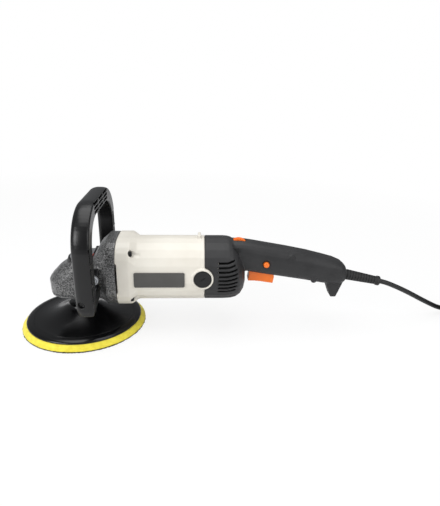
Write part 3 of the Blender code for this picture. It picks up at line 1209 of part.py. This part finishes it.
def build():
    spindle_axis = pivot("spindle_axis", (0, 0, 0))
    motor_axis = pivot("motor_axis", (0, 0, MOTOR_Z))
    trigger_axis = pivot("trigger_axis", TRIGGER_PIVOT)
    carry(spindle_axis, *make_pad(), make_spindle(), make_crown_gear())
    make_gear_housing()
    make_head_pieces()
    make_spindle_lock()
    carry(motor_axis, *make_armature())
    make_stator()
    make_motor_housing()
    make_brushes()
    make_badge()
    make_handle_shells()
    trigger, _, _ = make_handle_inside()
    carry(trigger_axis, trigger)
    make_side_handle()
    make_cord()
    for piece in PARTS.objects:
        if piece.type == "MESH":
            smooth(piece.data)


build()
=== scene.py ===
import json
import math

import bmesh
import bpy
from mathutils import Matrix, Vector, noise

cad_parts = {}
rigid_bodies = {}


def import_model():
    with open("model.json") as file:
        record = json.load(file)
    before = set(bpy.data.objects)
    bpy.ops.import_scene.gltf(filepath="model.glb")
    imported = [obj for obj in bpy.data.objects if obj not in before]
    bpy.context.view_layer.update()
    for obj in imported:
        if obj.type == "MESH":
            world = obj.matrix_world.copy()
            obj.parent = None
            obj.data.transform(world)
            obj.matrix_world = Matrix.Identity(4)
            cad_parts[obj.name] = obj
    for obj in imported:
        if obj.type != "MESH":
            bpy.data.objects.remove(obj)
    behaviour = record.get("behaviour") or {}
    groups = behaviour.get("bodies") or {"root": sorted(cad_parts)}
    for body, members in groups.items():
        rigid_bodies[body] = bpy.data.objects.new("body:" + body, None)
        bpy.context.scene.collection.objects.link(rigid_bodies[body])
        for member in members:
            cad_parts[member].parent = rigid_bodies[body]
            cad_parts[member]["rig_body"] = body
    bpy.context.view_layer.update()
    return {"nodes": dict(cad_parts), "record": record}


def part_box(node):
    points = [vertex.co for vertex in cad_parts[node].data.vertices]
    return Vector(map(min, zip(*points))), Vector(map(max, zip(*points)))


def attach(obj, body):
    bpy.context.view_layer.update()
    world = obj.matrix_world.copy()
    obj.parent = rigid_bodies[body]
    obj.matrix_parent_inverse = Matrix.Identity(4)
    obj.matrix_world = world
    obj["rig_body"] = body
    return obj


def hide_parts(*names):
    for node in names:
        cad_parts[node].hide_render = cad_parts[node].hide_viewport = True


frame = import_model()
cadNodes = frame["nodes"]
slotOf = {part["node"]: part["material_slot"] for part in frame["record"]["subparts"]}
mm = 0.001
print("frame loaded:", len(cadNodes), "nodes")


# camera, at the height and side the machine is seen from
cameraView = {"place": (0.1712, -0.6254, 0.3568), "lens": 32.66}
cameraData = bpy.data.cameras.new("camera")
cameraData.lens = cameraView["lens"]
camera = bpy.data.objects.new("camera", cameraData)
bpy.context.scene.collection.objects.link(camera)
right = Vector((0.99886, -0.04377, 0.01895)).normalized()
forward = Vector((0.04767, 0.9297, -0.36523)).normalized()
right = (right - right.dot(forward) * forward).normalized()
upward = right.cross(forward)
turn = Matrix((right, upward, -forward)).transposed().to_4x4()
camera.matrix_world = Matrix.Translation(cameraView["place"]) @ turn
bpy.context.scene.camera = camera


def linearOf(hexColour):
    # sRGB hex to the linear values a shader takes
    channels = [int(hexColour[i:i + 2], 16) / 255 for i in (1, 3, 5)]
    return tuple(c / 12.92 if c <= 0.04045 else ((c + 0.055) / 1.055) ** 2.4 for c in channels) + (1,)


def addNode(tree, kind, settings=None, links=None):
    node = tree.nodes.new(kind)
    for key, value in (settings or {}).items():
        if isinstance(key, str) and hasattr(node, key):
            setattr(node, key, value)
        else:
            node.inputs[key].default_value = value
    for key, source in (links or {}).items():
        tree.links.new(source, node.inputs[key])
    return node


def makeFinish(name, colour, shade, patternMm, grainMm, grainDepthMm, roughness, metallic=0.0, contrast=(0.35, 0.65),
               coat=0.0, stretch=(1, 1, 1), cells=False, sheen=0.0, specular=0.5):
    # colour and shade are mixed over patches of patternMm, and grainMm is the size of the surface's grain
    material = bpy.data.materials.new(name)
    material.use_nodes = True
    tree = material.node_tree
    shader = tree.nodes["Principled BSDF"]
    place = addNode(tree, "ShaderNodeTexCoord")
    scaled = addNode(tree, "ShaderNodeMapping", {"Scale": stretch}, {"Vector": place.outputs["Object"]})
    patches = addNode(tree, "ShaderNodeTexNoise", {"Scale": 1000 / patternMm, "Detail": 3.0, "Roughness": 0.6},
                      {"Vector": scaled.outputs["Vector"]})
    spread = addNode(tree, "ShaderNodeMapRange", {"From Min": contrast[0], "From Max": contrast[1]},
                     {"Value": patches.outputs["Fac"]})
    blend = addNode(tree, "ShaderNodeMix", {"data_type": "RGBA", 6: linearOf(shade), 7: linearOf(colour)},
                    {0: spread.outputs["Result"]})
    tree.links.new(blend.outputs[2], shader.inputs["Base Color"])
    if cells:
        grain = addNode(tree, "ShaderNodeTexVoronoi", {"feature": "SMOOTH_F1", "Scale": 1000 / grainMm, "Smoothness": 0.6},
                        {"Vector": scaled.outputs["Vector"]})
        height = grain.outputs["Distance"]
    else:
        grain = addNode(tree, "ShaderNodeTexNoise", {"Scale": 1000 / grainMm, "Detail": 4.0},
                        {"Vector": scaled.outputs["Vector"]})
        height = grain.outputs["Fac"]
    bump = addNode(tree, "ShaderNodeBump", {"Strength": 1.0, "Distance": grainDepthMm * mm}, {"Height": height})
    tree.links.new(bump.outputs["Normal"], shader.inputs["Normal"])
    wear = addNode(tree, "ShaderNodeMapRange", {"To Min": roughness - 0.06, "To Max": roughness + 0.06},
                   {"Value": patches.outputs["Fac"]})
    tree.links.new(wear.outputs["Result"], shader.inputs["Roughness"])
    shader.inputs["Metallic"].default_value = metallic
    shader.inputs["Coat Weight"].default_value = coat
    shader.inputs["Coat Roughness"].default_value = 0.25
    shader.inputs["Sheen Weight"].default_value = sheen
    shader.inputs["Specular IOR Level"].default_value = specular
    return material


# moulded ABS: satin, with a faint spark-eroded grain and hardly any change of tone
creamAbs = makeFinish("cream_moulded_abs", "#dcd8ce", "#d5d0c5", 60, 0.5, 0.02, 0.42)
# glass-filled nylon of the rear grip: dark grey, fine leather-like grain, soft sheen
gripNylon = makeFinish("grey_grained_nylon", "#2b2b2c", "#242425", 25, 0.7, 0.05, 0.52, specular=0.35)
# smoother black nylon of the front handle, with long soft highlights
handleNylon = makeFinish("black_satin_nylon", "#0d0d0e", "#09090a", 30, 0.6, 0.02, 0.3, specular=0.35)
# glossy moulded plate of the pad
plateNylon = makeFinish("black_gloss_nylon", "#070708", "#050506", 40, 1.2, 0.008, 0.22, specular=0.35)
blackNylon = makeFinish("black_moulded_nylon", "#131314", "#0e0e0f", 12, 0.5, 0.02, 0.45, specular=0.35)
# closed-cell polyurethane foam, matt, with pores about 0.8 mm across
padFoam = makeFinish("yellow_cell_foam", "#eee04a", "#dfce3a", 7, 0.8, 0.22, 0.85, cells=True, sheen=0.2)
# hooks of the hook-and-loop face, short stiff nylon
hookNylon = makeFinish("black_hook_nylon", "#2c2a22", "#151512", 1.2, 0.7, 0.4, 0.8, cells=True)
# hammered enamel on cast aluminium: light flecks on dark grey, dimples about 2 mm across
hammered = makeFinish("hammered_enamel", "#7a7a7a", "#1b1b1b", 1.8, 2.1, 0.2, 0.4, metallic=0.2,
                      contrast=(0.4, 0.64), coat=0.25, cells=True)
orangeAbs = makeFinish("orange_moulded_abs", "#ef7416", "#e66a10", 20, 0.5, 0.02, 0.38)
cordPvc = makeFinish("black_pvc_sheath", "#161617", "#101011", 20, 0.6, 0.03, 0.5)
rubber = makeFinish("black_soft_rubber", "#1b1b1c", "#141414", 8, 0.5, 0.04, 0.62)
badgePlate = makeFinish("bare_dark_plate", "#474644", "#403f3d", 30, 0.5, 0.01, 0.4)
labelFilm = makeFinish("grey_label_film", "#77787b", "#6d6e71", 30, 0.6, 0.01, 0.4)
trimRed = makeFinish("red_trim_ink", "#a8402f", "#8f3527", 5, 0.5, 0.01, 0.5)
# metals keep the default IOR; stretch draws the sheets of the laminations and the run of the wire
zincPlate = makeFinish("bright_zinc_plate", "#dfe2e6", "#cfd2d6", 4, 0.5, 0.01, 0.42, metallic=0.9)
groundSteel = makeFinish("ground_steel", "#a5a6a8", "#8d8e91", 6, 0.4, 0.02, 0.3, metallic=1.0)
laminations = makeFinish("stacked_laminations", "#6d6e72", "#4a4b4e", 1.5, 0.5, 0.08, 0.5, metallic=1.0,
                         stretch=(1, 0.05, 0.05))  # sheets 0.5 mm thick, across the motor's axis
drawnBrass = makeFinish("drawn_brass", "#c8a052", "#b08a42", 5, 0.4, 0.02, 0.3, metallic=1.0)
windingCopper = makeFinish("varnished_copper_wire", "#a8552e", "#7c3a1e", 1.6, 0.9, 0.15, 0.35, metallic=0.8,
                           stretch=(0.1, 1, 1))
# dark steel colour that paints in the shade the housing screws sit in, in place of the zinc of their slot
screwShadeSteel = makeFinish("steel_painted_shade", "#2b2b2c", "#202021", 4, 0.5, 0.03, 0.45, metallic=0.8)
# flat dark colour that paints the shade inside the handle's air slots
ventShadeFill = makeFinish("painted_vent_shade", "#1a1a1a", "#101010", 1.5, 0.5, 0.3, 0.9)
carbonBlock = makeFinish("pressed_carbon", "#2a2a2a", "#1d1d1d", 2, 0.3, 0.03, 0.6)
print("finishes made")

finishOfSlot = {
    "cream_abs": creamAbs, "dark_grey_nylon": gripNylon, "black_nylon": blackNylon, "black_rubber": rubber,
    "orange_abs": orangeAbs, "yellow_foam": padFoam, "hammered_enamel": hammered, "steel": groundSteel,
    "zinc_plate": zincPlate, "brass": drawnBrass, "copper": windingCopper, "lamination_steel": laminations,
    "carbon": carbonBlock, "badge_grey": badgePlate,
}
for name, node in cadNodes.items():
    node.data.materials.clear()
    node.data.materials.append(finishOfSlot[slotOf[name]])


def addPiece(name, mesh, material, standsFor, body=None):
    # a finished piece at the origin that takes the place of one or more CAD nodes
    piece = bpy.data.objects.new(name, mesh)
    bpy.context.scene.collection.objects.link(piece)
    mesh.materials.clear()
    mesh.materials.append(material)
    nodes = [standsFor] if isinstance(standsFor, str) else list(standsFor)
    if nodes:
        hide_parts(*nodes)
    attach(piece, body or cadNodes[nodes[0]]["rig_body"])
    return piece


def meshFrom(bm, name, smoothAngle=35):
    bmesh.ops.remove_doubles(bm, verts=bm.verts, dist=1e-6)
    bmesh.ops.recalc_face_normals(bm, faces=bm.faces)
    mesh = bpy.data.meshes.new(name)
    bm.to_mesh(mesh)
    bm.free()
    mesh.shade_smooth()
    mesh.set_sharp_from_angle(angle=math.radians(smoothAngle))
    return mesh


def turnedMesh(name, profile, steps, place=Matrix.Identity(4), smoothAngle=35):
    # profile is (radius, height) in mm round the local Z axis
    bm = bmesh.new()
    corners = [bm.verts.new((radius * mm, 0, height * mm)) for radius, height in profile]
    for first, second in zip(corners, corners[1:]):
        bm.edges.new((first, second))
    if profile[0][0] > 0:
        bm.edges.new((corners[-1], corners[0]))
    bmesh.ops.spin(bm, geom=bm.verts[:] + bm.edges[:], cent=(0, 0, 0), axis=(0, 0, 1), angle=2 * math.pi, steps=steps,
                   use_merge=True)
    bmesh.ops.transform(bm, matrix=place, verts=bm.verts)
    return meshFrom(bm, name, smoothAngle)


def softenedCopy(node, material, voxelMm, passes):
    # the CAD solid with its moulded or cast edges rounded off
    bm = bmesh.new()
    bm.from_mesh(cadNodes[node].data)
    bmesh.ops.remove_doubles(bm, verts=bm.verts, dist=1e-6)
    source = bpy.data.meshes.new(node + "_rough")
    bm.to_mesh(source)
    bm.free()
    rough = bpy.data.objects.new(node + "_rough", source)
    bpy.context.scene.collection.objects.link(rough)
    remesh = rough.modifiers.new("remesh", "REMESH")
    remesh.mode = "VOXEL"
    remesh.voxel_size = voxelMm * mm
    remesh.use_smooth_shade = True
    soften = rough.modifiers.new("soften", "SMOOTH")
    soften.factor = 0.5
    soften.iterations = passes
    bpy.context.view_layer.update()
    graph = bpy.context.evaluated_depsgraph_get()
    mesh = bpy.data.meshes.new_from_object(rough.evaluated_get(graph))
    bpy.data.objects.remove(rough)
    mesh.name = node + "_soft"
    mesh.shade_smooth()
    return addPiece(node + "_soft", mesh, material, node)


# mains cord, from the strain relief to the coil and its plug
cord = {
    "radius": 3.75, "centre": (608.0, -20.0), "columns": (45.3, 37.5, 29.7), "layers": (5.2, 13.0, 20.8, 28.6),
    "pointsPerTurn": 20, "enterAt": 122.9, "leaveAt": 57.6,
}
leadRoute = [
    (447.1, 0, 65.9), (456, 0, 63.8), (466, 0.3, 59.9), (479, 1.4, 54.0), (493, 3, 47.0), (507, 5.2, 39.3),
    (521, 8, 31.2), (535, 11.4, 23.3), (548, 15, 16.0), (559, 18.6, 10.4), (569.5, 21.6, 6.7), (579.4, 24.3, 5.2),
]
tailRoute = [(635.8, 24.9, 27.2), (646, 25.2, 24.6), (657, 26.6, 20.6), (668, 29.4, 16.2), (681, 31.4, 13.7)]


def coilRoute():
    # each slot of the coil holds one turn, and the cord steps to the next slot over the last sixth of a turn
    slots = []
    for i, z in enumerate(cord["layers"]):
        columns = cord["columns"] if i % 2 == 0 else cord["columns"][::-1]
        slots += [(radius, z) for radius in columns]
    turns = len(slots) - 1 + (cord["enterAt"] - cord["leaveAt"]) / 360
    count = int(turns * cord["pointsPerTurn"])
    route = []
    for i in range(1, count):
        along = turns * i / count
        slot = int(along)
        radius, z = slots[slot]
        share = max(0.0, (along - slot) * 6 - 5)
        if share and slot + 1 < len(slots):
            share = share * share * (3 - 2 * share)
            radius += share * (slots[slot + 1][0] - radius)
            z += share * (slots[slot + 1][1] - z)
        join = max(0.0, 1 - along * 5)
        away = max(0.0, 1 - (turns - along) * 7)
        radius += 7.3 * (join * join + away * away)
        angle = math.radians(cord["enterAt"]) - 2 * math.pi * along
        x, y = cord["centre"]
        route.append((x + radius * math.cos(angle), y + radius * math.sin(angle), z - 1.0 * away * away))
    return route


cordPoints = [Vector(point) * mm for point in leadRoute + coilRoute() + tailRoute]
cordCurve = bpy.data.curves.new("mains_cord", "CURVE")
cordCurve.dimensions = "3D"
cordCurve.bevel_depth = cord["radius"] * mm
cordCurve.bevel_resolution = 4
cordCurve.use_fill_caps = True
cordCurve.resolution_u = 3
cordLine = cordCurve.splines.new("NURBS")
cordLine.points.add(len(cordPoints) - 1)
for point, where in zip(cordLine.points, cordPoints):
    point.co = (*where, 1)
cordLine.order_u = 3
cordLine.use_endpoint_u = True
cordCurve.materials.append(cordPvc)
mainsCord = bpy.data.objects.new("mains_cord", cordCurve)
bpy.context.scene.collection.objects.link(mainsCord)
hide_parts("cord_lead", "cord_coil", "cord_tail")
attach(mainsCord, "polisher")
cordLength = sum((b - a).length for a, b in zip(cordPoints, cordPoints[1:]))
print("cord length", round(cordLength, 3))
plugPiece = softenedCopy("plug", rubber, 0.7, 3)

# pad: hook face, foam and moulded plate, turned finely
pad = {"radius": 90.0, "topRadius": 84.0, "hookTop": 1.6, "foamBottom": 1.9, "foamTop": 9.4, "plateBottom": 9.7,
       "rimTop": 12.4, "groove": 73.0, "hub": 22.0, "hubTop": 34.3, "bore": 12.3, "seat": 11.9}
foamMesh = turnedMesh("pad_foam_band", [
    (0, pad["foamTop"]), (pad["topRadius"] - 1, pad["foamTop"]), (pad["topRadius"], pad["foamTop"] - 0.3), (85.6, 8.0),
    (87.6, 6.0), (89.2, 4.1), (pad["radius"], 2.9), (pad["radius"] - 0.1, 2.2), (89.4, pad["foamBottom"]),
    (0, pad["foamBottom"]),
], 240, smoothAngle=60)
for vert in foamMesh.vertices:  # cut foam is never quite round
    reach = math.hypot(vert.co.x, vert.co.y)
    if reach > 0.08:
        ripple = noise.noise(vert.co * 160) * 0.35 * mm + noise.noise(vert.co * 900) * 0.15 * mm
        vert.co.x *= 1 + ripple / reach
        vert.co.y *= 1 + ripple / reach
foam = addPiece("pad_foam_band", foamMesh, padFoam, "pad_foam")
hookMesh = turnedMesh("pad_hook_face", [
    (0, pad["hookTop"]), (87.5, pad["hookTop"]), (89.7, pad["hookTop"] - 0.1), (90.1, 0.9), (89.3, 0.1), (87, 0), (0, 0),
], 420, smoothAngle=60)
for vert in hookMesh.vertices:  # hooks stick out unevenly round the edge
    reach = math.hypot(vert.co.x, vert.co.y)
    if reach > 0.0885:
        ragged = noise.noise(vert.co * 700) * 1.1 * mm + noise.noise(vert.co * 2600) * 0.6 * mm
        vert.co.x *= 1 + ragged / reach
        vert.co.y *= 1 + ragged / reach
        vert.co.z = max(0.0, vert.co.z + noise.noise(vert.co * 900) * 0.5 * mm)
addPiece("pad_hook_face", hookMesh, hookNylon, "pad_hook_layer")
slope = [(pad["bore"], pad["seat"]), (pad["bore"], pad["hubTop"]), (19, pad["hubTop"]), (21.4, 33.6), (pad["hub"], 32.3)]
for i in range(1, 16):
    share = i / 16
    reach = pad["hub"] + share * (pad["groove"] - 0.9 - pad["hub"])
    slope.append((reach, 14.2 + 18.1 * (1 - share) ** 2.2))
slope += [(72.1, 14.2), (72.6, 13.7), (73.4, 13.7), (73.9, 14.15), (77, 13.9), (80.6, 13.2), (82.4, 12.3), (83.3, 11.4),
          (83.6, 10.6), (83.5, pad["plateBottom"]), (0, pad["plateBottom"]), (0, pad["seat"])]
addPiece("pad_moulded_plate", turnedMesh("pad_moulded_plate", slope, 200), plateNylon, "pad_plate")
print("pad made")

# castings and mouldings with their edges rounded
mouldings = {  # voxel in mm and smoothing passes
    "gear_housing": (hammered, 1.0, 5), "bearing_cover": (hammered, 0.8, 4), "motor_housing": (creamAbs, 1.0, 4),
    "side_handle": (handleNylon, 0.8, 10), "handle_shell_left": (gripNylon, 0.9, 4),
    "handle_shell_right": (gripNylon, 0.9, 4), "trigger": (orangeAbs, 0.5, 4), "head_cap": (blackNylon, 0.6, 3),
    "brush_cap_left": (blackNylon, 0.35, 2), "brush_cap_right": (blackNylon, 0.35, 2),
    "spindle_lock_button": (blackNylon, 0.35, 2), "lock_on_button": (orangeAbs, 0.25, 2),
    "handle_bolt_left": (zincPlate, 0.3, 2), "handle_bolt_right": (zincPlate, 0.3, 2),
}
for node, (finish, voxelMm, passes) in mouldings.items():
    softenedCopy(node, finish, voxelMm, passes)
# the housing screws take the dark steel: painted shade for the shadow they sit in
for number in (1, 2, 3, 4):
    cadNodes[f"housing_screw_{number}"].data.materials[0] = screwShadeSteel

# painted shade: dark boxes just inside the air slots, one in each half of the handle, that fill the slots with shade
ventShadeBox = {"front": 201.5, "rear": 229.0, "bottom": 58.0, "top": 127.0, "near": 20.5, "far": 22.5}
for side, name in ((-1, "left"), (1, "right")):
    bm = bmesh.new()
    bmesh.ops.create_cube(bm, size=1)
    bmesh.ops.scale(bm, verts=bm.verts, vec=[(ventShadeBox[b] - ventShadeBox[a]) * mm for a, b in (
        ("front", "rear"), ("near", "far"), ("bottom", "top"))])
    bmesh.ops.translate(bm, verts=bm.verts, vec=[(ventShadeBox["front"] + ventShadeBox["rear"]) / 2 * mm,
                                                 side * (ventShadeBox["near"] + ventShadeBox["far"]) / 2 * mm,
                                                 (ventShadeBox["bottom"] + ventShadeBox["top"]) / 2 * mm])
    addPiece(f"vent_shade_block_{name}", meshFrom(bm, f"vent_shade_block_{name}"), ventShadeFill, (), "polisher")
print("mouldings made")

# strain relief with its moulded bands
boot = {"start": Vector((0.389, 0, 0.0782)), "tilt": math.radians(12), "length": 59.0}  # mm from start to collar
bootPlace = Matrix.Translation(boot["start"]) @ Matrix.Rotation(math.pi / 2 + boot["tilt"], 4, "Y")
bootProfile = [(0, boot["length"]), (6.4, boot["length"]), (7.3, 58.2), (7.3, 54.6), (6.4, 53.8)]
for i in range(11):
    high = 52.6 - i * 4.4
    wide = 6.35 + 1.75 * i / 11
    bootProfile += [(wide, high), (wide, high - 2.9), (wide - 0.7, high - 3.2), (wide - 0.7, high - 4.0)]
bootProfile += [(8.2, 3.0), (8.3, -5.2), (10, -5.2), (10, -8.5), (0, -8.5)]
addPiece("strain_relief_boot", turnedMesh("strain_relief_boot", bootProfile, 64, bootPlace), rubber, "strain_relief")

# speed wheel, with a ridged edge to turn by thumb
wheel = {"centre": Vector((0.230, 0, 0.1206)), "radius": 14.0, "half": 4.5, "ridges": 44}
bm = bmesh.new()
bmesh.ops.create_circle(bm, cap_ends=True, segments=4 * wheel["ridges"], radius=wheel["radius"] * mm)
for i, vert in enumerate(bm.verts):
    if i % 4 >= 2:
        vert.co *= 1 - 0.5 / wheel["radius"]
raised = bmesh.ops.extrude_face_region(bm, geom=bm.faces[:])
bmesh.ops.translate(bm, vec=(0, 0, 2 * wheel["half"] * mm),
                    verts=[g for g in raised["geom"] if isinstance(g, bmesh.types.BMVert)])
bmesh.ops.translate(bm, vec=(0, 0, -wheel["half"] * mm), verts=bm.verts)
bmesh.ops.create_cone(bm, cap_ends=True, segments=24, radius1=2 * mm, radius2=2 * mm, depth=5 * mm,
                      matrix=Matrix.Translation((0, 0, 5.9 * mm)))
wheelPlace = Matrix.Translation(wheel["centre"]) @ Matrix.Rotation(-math.pi / 2, 4, "X")
bmesh.ops.transform(bm, matrix=wheelPlace, verts=bm.verts)
addPiece("speed_wheel", meshFrom(bm, "speed_wheel", 30), orangeAbs, "speed_dial")

# bare label on top of the gear head, with its one coloured edge line
label = {"front": -13.0, "rear": 18.6, "half": 25.0, "low": 108.3, "high": 108.75}
bm = bmesh.new()
middle = label["front"] + label["half"]
outline = [(label["rear"], label["half"]), (label["rear"], -label["half"])]
for i in range(33):
    angle = -math.pi / 2 - math.pi * i / 32
    outline.append((middle + label["half"] * math.cos(angle), label["half"] * math.sin(angle)))
face = bm.faces.new([bm.verts.new((x * mm, y * mm, label["low"] * mm)) for x, y in outline])
raised = bmesh.ops.extrude_face_region(bm, geom=[face])
bmesh.ops.translate(bm, vec=(0, 0, (label["high"] - label["low"]) * mm),
                    verts=[g for g in raised["geom"] if isinstance(g, bmesh.types.BMVert)])
addPiece("head_label", meshFrom(bm, "head_label"), labelFilm, (), "polisher")
bm = bmesh.new()
bmesh.ops.create_cube(bm, size=1)
bmesh.ops.scale(bm, vec=(1.1 * mm, 21.6 * mm, 0.5 * mm), verts=bm.verts)
bmesh.ops.translate(bm, vec=(19.4 * mm, -6.8 * mm, 108.55 * mm), verts=bm.verts)
addPiece("label_edge_line", meshFrom(bm, "label_edge_line"), trimRed, (), "polisher")
print("details made")

# bare name plate on the left of the barrel, with a raised rim
plate = {"front": 82.8, "rim": 0.9, "step": 0.25, "corner": 2.0}
low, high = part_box("badge")
bm = bmesh.new()
bmesh.ops.create_cube(bm, size=1)
bmesh.ops.scale(bm, verts=bm.verts, vec=(high[0] - plate["front"] * mm, high[1] - low[1], high[2] - low[2]))
bmesh.ops.translate(bm, verts=bm.verts, vec=((high[0] + plate["front"] * mm) / 2, (high[1] + low[1]) / 2,
                                             (high[2] + low[2]) / 2))
corners = [e for e in bm.edges if abs(e.verts[0].co.y - e.verts[1].co.y) > 1 * mm]
bmesh.ops.bevel(bm, geom=corners, offset=plate["corner"] * mm, segments=5, affect="EDGES", profile=0.5, material=-1)
front = min(bm.faces, key=lambda face: face.calc_center_median().y)
bmesh.ops.inset_region(bm, faces=[front], thickness=plate["rim"] * mm, depth=0)
bmesh.ops.translate(bm, verts=front.verts[:], vec=(0, plate["step"] * mm, 0))
addPiece("name_plate", meshFrom(bm, "name_plate"), badgePlate, "badge")
print("plates made")

# floor, world and soft lights
floorMesh = bpy.data.meshes.new("floor")
bm = bmesh.new()
bmesh.ops.create_grid(bm, x_segments=1, y_segments=1, size=6)
bmesh.ops.translate(bm, vec=(0, 0, -0.0003), verts=bm.verts)
bm.to_mesh(floorMesh)
bm.free()
floor = bpy.data.objects.new("floor", floorMesh)
bpy.context.scene.collection.objects.link(floor)
floorPaint = bpy.data.materials.new("white_sweep_paint")
floorPaint.use_nodes = True
tree = floorPaint.node_tree
paint = tree.nodes["Principled BSDF"]
paint.inputs["Base Color"].default_value = linearOf("#f4f4f4")
paint.inputs["Roughness"].default_value = 0.9
rays = addNode(tree, "ShaderNodeLightPath")
glow = addNode(tree, "ShaderNodeEmission", {"Color": (1, 1, 1, 1), "Strength": 1.0})
floorPlace = addNode(tree, "ShaderNodeTexCoord")
reach = addNode(tree, "ShaderNodeVectorMath", {"operation": "LENGTH"}, {0: floorPlace.outputs["Object"]})
whiter = addNode(tree, "ShaderNodeMapRange", {"From Min": 0.2, "From Max": 1.2, "To Min": 0.8, "To Max": 1.0},
                 {"Value": reach.outputs["Value"]})  # the sweep is lit evenly further out
share = addNode(tree, "ShaderNodeMath", {"operation": "MULTIPLY"},
                {0: rays.outputs["Is Camera Ray"], 1: whiter.outputs["Result"]})
both = addNode(tree, "ShaderNodeMixShader", None, {0: share.outputs[0], 1: paint.outputs[0], 2: glow.outputs[0]})
tree.links.new(both.outputs[0], tree.nodes["Material Output"].inputs["Surface"])
floorMesh.materials.append(floorPaint)

world = bpy.data.worlds.new("studio")
bpy.context.scene.world = world
world.use_nodes = True
tree = world.node_tree
plain = tree.nodes["Background"]
plain.inputs["Color"].default_value = linearOf("#f2f4f7")
plain.inputs["Strength"].default_value = 0.33
white = addNode(tree, "ShaderNodeBackground", {"Color": (1, 1, 1, 1), "Strength": 1.0})
rays = addNode(tree, "ShaderNodeLightPath")
both = addNode(tree, "ShaderNodeMixShader", None,
               {0: rays.outputs["Is Camera Ray"], 1: plain.outputs[0], 2: white.outputs[0]})
tree.links.new(both.outputs[0], tree.nodes["World Output"].inputs["Surface"])

lamps = {
    "overhead": {"place": (0.1, 0.1, 1.3), "size": 1.2, "watts": 13.0},
    "front_left": {"place": (-0.9, -0.9, 0.75), "size": 0.7, "watts": 12.0},
    "front_right": {"place": (1.1, -0.9, 0.8), "size": 0.9, "watts": 7.0},
}
for name, lamp in lamps.items():
    data = bpy.data.lights.new(name, "AREA")
    data.size = lamp["size"]
    data.energy = lamp["watts"]
    light = bpy.data.objects.new(name, data)
    light.location = lamp["place"]
    light.rotation_euler = (Vector((0.12, 0, 0.08)) - Vector(lamp["place"])).to_track_quat("-Z", "Y").to_euler()
    bpy.context.scene.collection.objects.link(light)
bpy.context.scene.view_settings.view_transform = "Standard"
print("stage set")
